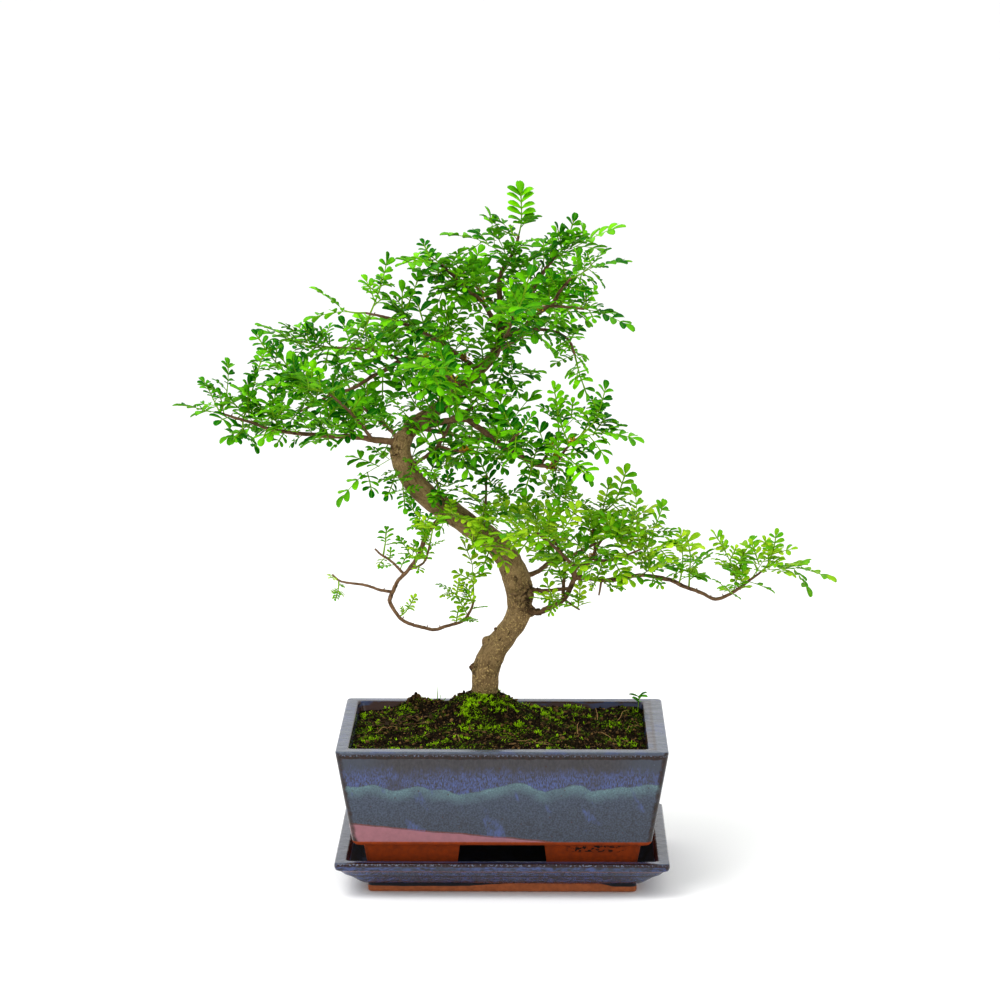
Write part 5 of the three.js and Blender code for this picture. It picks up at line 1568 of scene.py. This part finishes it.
def scar_share(points):
    """How near each point, in millimetres, lies to an old wound: 1 in its middle, 0 away from it."""
    share = np.zeros(len(points))
    for x, y, z, reach in SCARS:
        gap = np.linalg.norm(points - np.array([x, y, z]), axis=1)
        share = np.maximum(share, np.clip(1.6 - 1.6 * gap / reach, 0, 1))
    return share


def roughen_scars(piece):
    """Breaks up the surface of the old wounds with deep folds."""
    points, _ = mesh_arrays(piece)
    places = (points - to_frame((0, 0, 0))) / MM
    share = scar_share(places)
    for i in np.flatnonzero(share):
        fold = abs(noise.fractal(Vector(places[i]) * 0.22, 0.7, 2.2, 4))
        vertex = piece.data.vertices[i]
        vertex.co += vertex.normal * share[i] * (1.2 - 4.0 * fold) * MM
    piece.data.update()


def paint_bark(piece):
    """Gives each point of the wood its branch's radius, in cm, its scars and its place on the branch.

    The place is a vector in metres: two ways across the branch and one along it, so that a
    pattern can follow the grain.
    """
    points, _ = mesh_arrays(piece)
    points = (points - to_frame((0, 0, 0))) / MM
    rows = branch_frames()
    nearest = np.empty(len(points), int)
    for start in range(0, len(points), 2000):
        part = points[start : start + 2000]
        gaps = np.linalg.norm(part[:, None, :] - rows[None, :, :3], axis=2) - rows[:, 3]
        nearest[start : start + 2000] = gaps.argmin(axis=1)
    own = rows[nearest]
    offset = points - own[:, :3]
    grain = np.column_stack([
        (offset * own[:, 4:7]).sum(1), (offset * own[:, 7:10]).sum(1),
        (offset * own[:, 10:13]).sum(1) + own[:, 13],
    ])
    tones = piece.data.color_attributes.new("tone", "FLOAT_COLOR", "POINT")
    values = np.zeros((len(points), 4))
    values[:, 0] = own[:, 3] / 10
    values[:, 1] = scar_share(points)
    tones.data.foreach_set("color", values.ravel())
    places = piece.data.attributes.new("grain", "FLOAT_VECTOR", "POINT")
    places.data.foreach_set("vector", (grain * MM).ravel())


def build_wood(settings):
    """The trunk and branches: the stout ones in one skin of bark, the thin ones as fine bars."""
    draw = seeded_draw(11)
    stout, thin, thorns = [], [], Heap()
    for name, rows in LIMBS.items():
        path = gnarled(rows, draw, 4 if name == "trunk" else 2.5)
        number = int((path[:, 3] >= settings.stout).sum())
        if number > 2:
            stout.append(path[: number + 2])
        if number < len(path) - 1:
            thin.append(path[max(number - 2, 0) :])
    for x, y, z, radius in KNOBS:
        knob = np.array([[x, y, z - 0.4 * radius, 0.7 * radius], [x, y, z, radius],
                         [x, y, z + 0.5 * radius, 0.6 * radius]])
        stout.append(knob)
    wood = add_curves("bark_and_branches", stout, 4)
    finish_with(wood, "REMESH", mode="VOXEL", voxel_size=settings.cell)
    finish_with(wood, "SMOOTH", factor=0.5, iterations=3)
    displace(wood, 0.011, 0.8 * settings.ridge)
    displace(wood, 0.0035, 0.5 * settings.ridge)
    roughen_scars(wood)
    twigs = add_curves("twigs", thin, 1)
    for path in thin:
        for i in range(3, len(path) - 2, 5):
            point, radius = path[i, :3], path[i, 3]
            way = unit(square_to(direction(360 * draw(), 60 * draw()), unit(path[i + 1, :3] - point)))
            length_out = 1.2 + 1.2 * draw()
            spike = [point, point + way * (radius + 0.4), point + way * (radius + length_out)]
            tube(thorns, spike, [0.6, 0.5, 0.1], 4)
    spikes = thorns.piece("thorns")
    only(wood)
    for piece in (twigs, spikes):
        for layer in list(piece.data.color_attributes):
            piece.data.color_attributes.remove(layer)
        for layer in list(piece.data.uv_layers):
            piece.data.uv_layers.remove(layer)
        piece.select_set(True)
    bpy.ops.object.join()
    bpy.ops.object.shade_smooth()
    paint_bark(wood)
    return wood


def leaf_frame(base, way, tilt):
    """Where a leaf starts, the way it points, its face and its side."""
    leaning = np.array([0.5, -0.8, 0.3]) if abs(way[2]) > 0.8 else UP
    face = square_to(leaning, way)
    face = face * math.cos(tilt) + np.cross(way, face) * math.sin(tilt)
    return base, way, face, np.cross(face, way)


def leaf_point(leaf, length, s, w):
    """A point of a leaf, s along its rib and w to the side: the rib droops, the leaflets lift."""
    base, way, face, side = leaf
    return base + way * s + side * w + face * (LEAFLET_LIFT * abs(w) - RIB_DROOP * s * s / length)


def leaflets_of(length, pairs):
    """Each pair of leaflets: place on the rib, length, half width and angle."""
    spacing = 0.74 * length / (pairs + 0.5)
    size = length * (0.42 - 0.03 * pairs)
    half = min(0.26 * size, 0.46 * spacing)
    return [(spacing * (pair + 0.9), size, half, 1.12 - 0.2 * pair / pairs) for pair in range(pairs)]


def leaf_samples(leaf, length, pairs):
    """Points on a leaf that keep it clear of other sprays and of the wood."""
    samples = [leaf_point(leaf, length, share * length, 0) for share in (0.3, 0.55, 0.8, 1)]
    for s, size, _, angle in leaflets_of(length, pairs):
        for reach in (0.5, 1):
            for hand in (-1, 1):
                w = hand * (RIB_HALF_WIDTH + math.sin(angle) * reach * size)
                samples.append(leaf_point(leaf, length, s + math.cos(angle) * reach * size, w))
    return np.array(samples)


def wood_segments():
    """Start, run and larger radius of every piece of the branches."""
    starts, runs, radii = [], [], []
    for rows in LIMBS.values():
        rows = np.array(rows, float)
        starts.append(rows[:-1, :3])
        runs.append(rows[1:, :3] - rows[:-1, :3])
        radii.append(np.maximum(rows[:-1, 3], rows[1:, 3]))
    return np.vstack(starts), np.vstack(runs), np.concatenate(radii)


WOOD_STARTS, WOOD_RUNS, WOOD_RADII = wood_segments()


def clear_of_wood(samples, clearance):
    offsets = samples[:, None, :] - WOOD_STARTS[None]
    shares = (offsets * WOOD_RUNS).sum(2) / (WOOD_RUNS * WOOD_RUNS).sum(1)
    nearest = WOOD_STARTS + WOOD_RUNS * np.clip(shares, 0, 1)[:, :, None]
    gaps = np.linalg.norm(samples[:, None, :] - nearest, axis=2)
    return bool((gaps > WOOD_RADII + clearance).all())


def clear_of_leaves(samples, taken, clearance):
    if not len(taken):
        return True
    gaps = np.linalg.norm(samples[:, None, :] - np.asarray(taken)[None], axis=2)
    return bool((gaps > clearance).all())


def place_sprays():
    """The solids' own leaves, by the same rule as in the part's source.

    A list for each spray: its foot, end and way, and its leaves as (frame, length, pairs, foot).
    """
    taken, sprays = [], []
    for number, (limb, share, heading, rise, stalk, leaf_length, pairs) in enumerate(SPRAYS):
        draw = seeded_draw(977 * (number + 1))
        way = direction(heading, rise)
        foot, _ = along(LIMBS[limb], share)
        end = foot + way * stalk
        outward = square_to(np.array([1.0, 0.0, 0.0]) if abs(way[2]) > 0.8 else UP, way)
        beside = np.cross(way, outward)
        samples, leaves = [(foot + end) / 2, end], []
        for kind in ["end"] if stalk < LONE_LEAF_STALK else ["end", "side"]:
            for _ in range(LEAF_TRIES):
                turn, lift, tilt = draw() - 0.5, draw() - 0.5, draw() - 0.5
                hand = -1 if draw() < 0.5 else 1
                if kind == "end":
                    leaf_way = way + beside * 0.7 * turn + outward * 0.7 * lift
                    base = end
                else:
                    end_leaf, end_length = leaves[0][:2]
                    rib = leaf_point(end_leaf, end_length, 0.2 * end_length, 0)
                    leaf_way = unit(way * 0.5 + beside * hand + outward * (0.35 + 0.7 * turn))
                    base = foot + (rib - foot) * (0.5 + 0.2 * lift) - leaf_way * SIDE_LEAF_ROOT
                leaf = leaf_frame(base, unit(leaf_way), 0.9 * tilt)
                long = leaf_length * (1 if kind == "end" else 0.9)
                points = leaf_samples(leaf, long, pairs)
                if clear_of_wood(points, WOOD_CLEARANCE) and clear_of_leaves(
                    points, taken, LEAF_CLEARANCE
                ):
                    leaves.append((leaf, long, pairs, foot if kind == "end" else None))
                    samples.extend(points)
                    break
        if not leaves:
            raise RuntimeError(f"no clear place for the end leaf of spray {number + 1}")
        taken.extend(samples)
        sprays.append({"foot": foot, "end": end, "way": way, "leaves": leaves})
    return sprays, taken


def leaflet_template(thickness):
    """A leaflet of length 1 and width 1 with a folded rib and a round notched tip.

    Its points, its faces, its place across and along, and which points are on the underside.
    """
    rows = [(0.0, 0.08), (0.16, 0.22), (0.4, 0.41), (0.68, 0.5), (0.89, 0.39), (1.0, 0.15)]
    leaflet = add_shape("grid", "leaflet", x_subdivisions=2, y_subdivisions=5, size=2)
    flat, _ = mesh_arrays(leaflet)
    for vertex in leaflet.data.vertices:
        row = round((vertex.co.y + 1) / 2 * 5)
        column = round(vertex.co.x)
        y, half = rows[row]
        notch = 0.045 if row == 5 and column == 0 else 0.0
        vertex.co = (column * half, y - notch, 0.26 * abs(column) * half - 0.10 * y * y)
    count = len(flat)
    finish_with(leaflet, "SOLIDIFY", thickness=thickness, offset=-1)
    points, faces = take_template(leaflet)
    places = np.tile(np.column_stack([(flat[:, 0] + 1) / 2, (flat[:, 1] + 1) / 2]), (2, 1))
    under = np.arange(len(points)) >= count
    return points, faces, places, under


def add_leaflet(heap, template, start, way, face, size, half, tones, draw):
    """Adds a leaflet that starts at a point, with small turns of its own."""
    points, faces, places, under = template
    way = unit(way + 0.14 * np.array([draw() - 0.5, draw() - 0.5, draw() - 0.5]))
    normal = square_to(0.45 * face + 0.6 * UP, way)
    side = np.cross(way, normal)
    roll = 0.7 * (draw() - 0.5)
    normal = normal * math.cos(roll) + side * math.sin(roll)
    side = np.cross(way, normal)
    curl = 1.4 * draw() - 0.3
    up = points[:, 2] - curl * 0.1 * points[:, 1] ** 2
    shape = (
        start + np.outer(points[:, 1] * size, way) + np.outer(points[:, 0] * 2 * half, side)
        + np.outer(up * size, normal)
    )
    shade, chance = tones
    shade = float(np.clip(shade + 0.5 * (chance - 0.5), 0, 1))
    values = np.zeros((len(points), 4))
    values[:, 0], values[:, 1], values[:, 2] = shade, under, chance
    heap.add(shape, faces, values, places)


def grow_leaf(heap, template, leaf, length, pairs, foot, draw, shade, basal=True, broad=1.0):
    """Adds a whole leaf: winged rib, leaflets in pairs and one at the tip."""
    _, way, face, side = leaf
    pairs_at = [
        (s, broad * size, broad * half, angle) for s, size, half, angle in leaflets_of(length, pairs)
    ]
    if basal:
        s, size, half, angle = pairs_at[0]
        pairs_at = [(0.42 * s, 0.6 * size, 0.6 * half, angle + 0.1)] + pairs_at
    stations = np.linspace(0.0, LEAFLETS_END * length, 2 * pairs + 3)
    path = [leaf_point(leaf, length, s, 0) for s in stations]
    halves = [0.5 if i % 2 else RIB_HALF_WIDTH for i in range(len(path))]
    if foot is not None:
        path = [foot, foot + (path[1] - foot) * 0.6] + path[1:]
        halves = [0.8, 0.65] + halves[1:]
    thick = 0.3 * face
    rings = [
        [point + side * half, point + thick, point - side * half, point - thick]
        for point, half in zip(path, halves)
    ]
    heap.add_bar(rings, (shade, 0, draw(), 0.75))
    for s, size, half, angle in pairs_at:
        scale = 0.92 + 0.16 * draw()
        for hand in (-1, 1):
            turn = angle + 0.24 * (draw() - 0.5)
            slope = face * (LEAFLET_LIFT * math.sin(turn) - 2 * RIB_DROOP * s / length)
            out = unit(way * math.cos(turn) + side * hand * math.sin(turn) + slope)
            start = leaf_point(leaf, length, s, 0.3 * hand)
            add_leaflet(
                heap, template, start, out, face, size * scale, half * scale, (shade, draw()), draw,
            )
    s = (LEAFLETS_END - 0.06) * length
    out = unit(way - face * 2 * RIB_DROOP * 0.85)
    add_leaflet(
        heap, template, leaf_point(leaf, length, s, 0), out, face, length - s, 0.105 * length,
        (shade, draw()), draw,
    )


def shade_at(point, draw):
    """How light a leaf is: in large soft patches across the tree, and by chance."""
    patch = noise.noise(Vector(point) * 0.022)
    return float(np.clip(0.36 + 0.5 * patch + 1.1 * (draw() - 0.45), 0, 1))


def leaf_kind(length, draw):
    """The length and number of pairs of a leaf: some broad with few leaflets, most finer."""
    kind = draw()
    if kind < 0.3:
        return length * (0.9 + 0.25 * draw()), 2
    if kind < 0.6:
        return length * (0.5 + 0.3 * draw()), 2
    return length * (0.65 + 0.4 * draw()), 3 if draw() < 0.6 else 4


def clear_of_gaps(samples):
    """Whether none of the points lies in a gap between the pads of leaves."""
    gaps = np.array(GAPS, float)
    across = samples[:, None, [0, 2]] - gaps[None, :, :2]
    return bool((np.linalg.norm(across, axis=2) > gaps[:, 2]).all())


def try_leaf(point, axis, radius, turn, length, draw, taken, clearance):
    """A leaf that grows from a branch to one side, if there is room for it."""
    outward = square_to(np.array([1.0, 0.0, 0.0]) if abs(axis[2]) > 0.9 else UP, axis)
    beside = np.cross(axis, outward)
    for _ in range(7):
        angle = turn + 1.1 * (draw() - 0.5)
        radial = outward * math.cos(angle) + beside * math.sin(angle)
        way = unit(axis * (0.2 + 0.6 * draw()) + radial + UP * (0.1 + 0.35 * draw()))
        base = point + radial * 0.6 * radius
        leaf = leaf_frame(base, way, 1.3 * (draw() - 0.5))
        long, pairs = leaf_kind(length, draw)
        samples = leaf_samples(leaf, long, pairs)
        outer = samples[1:]
        clear = clear_of_gaps(outer) and clear_of_wood(outer, 1.2)
        if clear and clear_of_leaves(outer, taken, clearance):
            taken.extend(samples)
            return leaf, long, pairs
    return None


def build_sprays(settings, template, sprays, taken):
    """A piece for each spray of the solids: its own leaves, and finer ones on its stalk."""
    made = []
    for number, spray in enumerate(sprays):
        draw = seeded_draw(4001 + 53 * number)
        heap = Heap()
        for leaf, long, pairs, foot in spray["leaves"]:
            shade = shade_at(leaf[0], draw)
            if number == 0 and foot is not None:
                grow_leaf(heap, template, leaf, long, 5, foot, draw, shade, broad=1.3)
            else:
                grow_leaf(heap, template, leaf, long, pairs, foot, draw, shade)
        foot, end, way = spray["foot"], spray["end"], spray["way"]
        stalk = np.linalg.norm(end - foot)
        leaf_length = spray["leaves"][0][1]
        spacing = 5 * settings.spread
        for step_number in range(max(2, int(stalk / spacing))):
            point = end - way * (0.6 + step_number * spacing)
            if np.linalg.norm(point - foot) < 4:
                break
            grown = try_leaf(
                point, way, 0.6, 2.4 * step_number + 6 * draw(), 0.85 * leaf_length, draw, taken, 2.1
            )
            if grown:
                grow_leaf(heap, template, *grown, None, draw, shade_at(point, draw), basal=False)
        made.append(heap.piece(f"spray_{number + 1:02d}_leaves"))
    return made


def grow_shoot(heap, template, start, end, leaf_length, draw, taken):
    """Adds a green shoot that bends up to its end, with leaves to both sides and one at its tip."""
    reach = end - start
    span = np.linalg.norm(reach)
    bend = (start + end) / 2 - 0.12 * span * UP + 0.05 * span * direction(360 * draw(), 0)
    shares = np.linspace(0, 1, max(4, round(span / 4)))
    path = [
        (1 - t) ** 2 * start + 2 * t * (1 - t) * bend + t**2 * (end - 0.3 * unit(reach) * leaf_length)
        for t in shares
    ]
    tube(heap, path, list(0.75 - 0.3 * shares), 5, (0.4, 0, draw(), 0.8))
    turn = 6 * draw()
    for i in range(len(path) - 1, 0, -1):
        axis = unit(path[i] - path[i - 1])
        if i == len(path) - 1:
            leaf = leaf_frame(path[i], unit(axis + 0.3 * UP * (draw() - 0.3)), draw() - 0.5)
            grow_leaf(heap, template, leaf, leaf_length, 3, None, draw, shade_at(end, draw))
            taken.extend(leaf_samples(leaf, leaf_length, 3))
        turn += 2.6
        grown = try_leaf(path[i], axis, 0.5, turn, 0.85 * leaf_length, draw, taken, 2.0)
        if grown:
            grow_leaf(heap, template, *grown, None, draw, shade_at(end, draw), basal=False)


def build_foliage(settings, template, taken):
    """The leaves that grow straight from the branches, one piece a region."""
    made = []
    for region, limbs in FOLIAGE.items():
        draw = seeded_draw(sum(map(ord, region)))
        heap = Heap()
        for limb, low, high, spacing, leaf_length in limbs:
            path = smooth_path(LIMBS[limb], 1.5)
            gaps = np.linalg.norm(np.diff(path[:, :3], axis=0), axis=1)
            travel = np.concatenate([[0], np.cumsum(gaps)])
            place = low * travel[-1]
            turn = 6 * draw()
            while place < high * travel[-1]:
                i = min(int(np.searchsorted(travel, place)), len(path) - 1)
                axis = unit(path[max(i, 1), :3] - path[max(i - 1, 0), :3])
                grown = try_leaf(path[i, :3], axis, path[i, 3], turn, leaf_length, draw, taken, 2.1)
                if grown:
                    shade = shade_at(path[i, :3], draw)
                    grow_leaf(heap, template, *grown, None, draw, shade, basal=draw() < 0.5)
                turn += 2.4
                place += spacing * settings.spread * (0.7 + 0.6 * draw())
        for limb, share, *end, leaf_length in SHOOTS.get(region, ()):
            start, _ = along(LIMBS[limb], share)
            grow_shoot(heap, template, start, np.array(end, float), leaf_length, draw, taken)
        made.append(heap.piece(region))
    return made


def build_buds():
    """Clusters of bead-like buds in the forks of the shoots."""
    draw = seeded_draw(207)
    points, faces = take_template(add_shape("ico_sphere", "bead", subdivisions=1, radius=1))
    heap = Heap()
    for limb, share in BUDS:
        middle, radius = along(LIMBS[limb], share)
        for _ in range(22):
            way = direction(360 * draw(), 80 * draw() - 10)
            reach = radius + 1.2 + 3.2 * draw()
            size = 0.45 + 0.35 * draw()
            bead = middle + way * reach
            heap.add(points * size + bead, faces, (draw(), 0, 0, 0))
            tube(heap, [middle, bead], [0.25, 0.2], 3, (0.1, 0, 0, 0))
    return heap.piece("buds")


def build_weeds(template):
    """A seedling at the back right corner and a grass sprout at the back left."""
    draw = seeded_draw(301)
    heap = Heap()
    foot = np.array([109.0, 70.0, 112.0])
    top = foot + np.array([1.5, -1.0, 15.0])
    tube(heap, [foot, (foot + top) / 2 + np.array([0.4, 0, 0]), top], [0.4, 0.35, 0.3], 5,
         (0.4, 0, 0.5, 0.8))
    for number in range(7):
        way = direction(51 * number + 20, 12 + 20 * draw())
        start = top - np.array([0, 0, 2.4 * (number % 3)])
        add_leaflet(heap, template, start, way, UP, 6.5 + 2 * draw(), 1.7, (0.3, draw()), draw)
    sprout = np.array([-54.0, 62.0, 118.0])
    for heading, rise, long in ((60, 66, 14), (100, 78, 19), (20, 52, 12)):
        tip = sprout + direction(heading, rise) * long
        middle = (sprout + tip) / 2 + np.array([0, 0, 0.6])
        tube(heap, [sprout, middle, tip], [0.45, 0.4, 0.15], 4, (0.0, 0, 0.1, 0.3))
    return heap.piece("weeds")


class BONSAI_OT_pot(bpy.types.Operator):
    """Models the pot and its four feet"""

    bl_idname = "bonsai.pot"
    bl_label = "Pot"

    def execute(self, context):
        settings = context.scene.bonsai_pot
        dress(build_pot(settings), pot_material(settings), "pot_glaze", "pot")
        return {"FINISHED"}


class BONSAI_OT_saucer(bpy.types.Operator):
    """Models the saucer"""

    bl_idname = "bonsai.saucer"
    bl_label = "Saucer"

    def execute(self, context):
        settings = context.scene.bonsai_pot
        dress(build_saucer(settings), saucer_material(settings), "saucer_glaze", "saucer")
        return {"FINISHED"}


class BONSAI_OT_drain_meshes(bpy.types.Operator):
    """Gives the two drain meshes their plastic"""

    bl_idname = "bonsai.drain_meshes"
    bl_label = "Drain meshes"

    def execute(self, context):
        plastic = plastic_material()
        for name in ("drain_mesh_left", "drain_mesh_right"):
            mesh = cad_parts[name].data
            mesh.materials.clear()
            mesh.materials.append(plastic)
        return {"FINISHED"}


class BONSAI_OT_soil(bpy.types.Operator):
    """Models the soil with its crumbs, moss, straws and weeds"""

    bl_idname = "bonsai.soil"
    bl_label = "Soil and moss"

    def execute(self, context):
        settings = context.scene.bonsai_soil
        leaves = context.scene.bonsai_leaves
        dress(build_soil(settings), soil_material(settings), "soil", "soil")
        crumbs = toned_material("crumbs", settings.earth * 0.5, settings.earth_light, 0.92)
        dress(build_crumbs(settings), crumbs, "soil")
        moss = toned_material("moss", settings.moss_dark, settings.moss_light, 0.7)
        dress(build_moss(settings), moss, "leaf_young")
        litter = toned_material("litter", settings.earth, settings.straw, 0.8)
        dress(build_litter(), litter, "bark")
        weed = leaf_material("weed", leaves.dark, leaves.light, leaves)
        dress(build_weeds(leaflet_template(leaves.thickness)), weed, "leaf_young")
        return {"FINISHED"}


class BONSAI_OT_wood(bpy.types.Operator):
    """Models the trunk, the branches and the twigs"""

    bl_idname = "bonsai.wood"
    bl_label = "Wood"

    def execute(self, context):
        settings = context.scene.bonsai_wood
        dress(build_wood(settings), bark_material(settings), "bark", "wood")
        return {"FINISHED"}


class BONSAI_OT_leaves(bpy.types.Operator):
    """Models the leafy sprays, the leaves on the branches and the buds"""

    bl_idname = "bonsai.leaves"
    bl_label = "Leaves and buds"

    def execute(self, context):
        settings = context.scene.bonsai_leaves
        old = leaf_material("leaf", settings.dark, settings.light, settings)
        young = leaf_material("leaf_young", settings.young_dark, settings.young_light, settings)
        template = leaflet_template(settings.thickness)
        sprays, taken = place_sprays()
        for number, piece in enumerate(build_sprays(settings, template, sprays, taken)):
            fresh = YOUNG_LIMBS.match(SPRAYS[number][0])
            node = f"spray_{number + 1:02d}"
            dress(piece, young if fresh else old, "leaf_young" if fresh else "leaf", node)
        for piece in build_foliage(settings, template, taken):
            fresh = piece.name in ("leaves_right", "leaves_loop")
            dress(piece, young if fresh else old, "leaf_young" if fresh else "leaf")
        buds = toned_material("bud", settings.bud * 0.6, settings.bud, 0.6)
        dress(build_buds(), buds, "leaf_young")
        return {"FINISHED"}


class BONSAI_OT_stage(bpy.types.Operator):
    """Sets the floor, the soft lights and the camera"""

    bl_idname = "bonsai.stage"
    bl_label = "Stage"

    def execute(self, context):
        settings = context.scene.bonsai_stage
        scene = context.scene
        scene.view_settings.view_transform = "Standard"
        scene.view_settings.look = "Medium High Contrast"
        floor = add_shape("plane", "floor", size=80, location=(0, 0, -0.0002))
        made, place = blank_material("floor")
        tint = mix(grain(place, 0.4, 2.0), settings.floor * 0.985, settings.floor)
        shader = made.node_tree.nodes["Principled BSDF"].inputs
        plug(place.tree, shader["Base Color"], tint)
        shader["Roughness"].default_value = 0.6
        floor.data.materials.append(made)

        sky = bpy.data.worlds.new("sky")
        sky.use_nodes = True
        background = sky.node_tree.nodes["Background"]
        background.inputs["Color"].default_value = (1, 1, 1, 1)
        background.inputs["Strength"].default_value = settings.sky
        scene.world = sky
        lights = (
            ("key", (-1.1, -1.0, 2.1), 1.6, settings.key), ("fill", (1.3, -1.9, 1.0), 1.4, settings.fill),
        )
        for name, location, size, power in lights:
            bpy.ops.object.light_add(type="AREA", location=location)
            light = named(name)
            light.data.size = size
            light.data.energy = power
            aim = Vector((0, 0, 0.25)) - Vector(location)
            light.rotation_euler = aim.to_track_quat("-Z", "Y").to_euler()

        pitch, turn = 0.172, 0.011
        bpy.ops.object.camera_add(
            location=to_frame((29.3, -2889.7, 804.3)), rotation=(math.pi / 2 - pitch, 0, turn),
        )
        camera = named("camera")
        camera.data.lens = settings.lens
        camera.data.sensor_width = 36
        camera.data.clip_end = 50
        scene.camera = camera
        return {"FINISHED"}


class BONSAI_PT_panel(bpy.types.Panel):
    """Lists the bonsai's operators"""

    bl_idname = "BONSAI_PT_panel"
    bl_label = "Japanese pepper bonsai"
    bl_space_type = "VIEW_3D"
    bl_region_type = "UI"
    bl_category = "Bonsai"

    def draw(self, context):
        for operator in OPERATORS:
            self.layout.operator(operator.bl_idname)


SETTINGS = {
    "bonsai_pot": PotSettings,
    "bonsai_soil": SoilSettings,
    "bonsai_wood": WoodSettings,
    "bonsai_leaves": LeafSettings,
    "bonsai_stage": StageSettings,
}
OPERATORS = (
    BONSAI_OT_pot,
    BONSAI_OT_saucer,
    BONSAI_OT_drain_meshes,
    BONSAI_OT_soil,
    BONSAI_OT_wood,
    BONSAI_OT_leaves,
    BONSAI_OT_stage,
)


def register():
    for made in (*SETTINGS.values(), *OPERATORS, BONSAI_PT_panel):
        bpy.utils.register_class(made)
    for name, group in SETTINGS.items():
        setattr(bpy.types.Scene, name, PointerProperty(type=group))


def unregister():
    for name in SETTINGS:
        delattr(bpy.types.Scene, name)
    for made in reversed((*SETTINGS.values(), *OPERATORS, BONSAI_PT_panel)):
        bpy.utils.unregister_class(made)


def main():
    register()
    for operator in OPERATORS:
        family, name = operator.bl_idname.split(".")
        getattr(getattr(bpy.ops, family), name)()


if __name__ == "__main__":
    main()
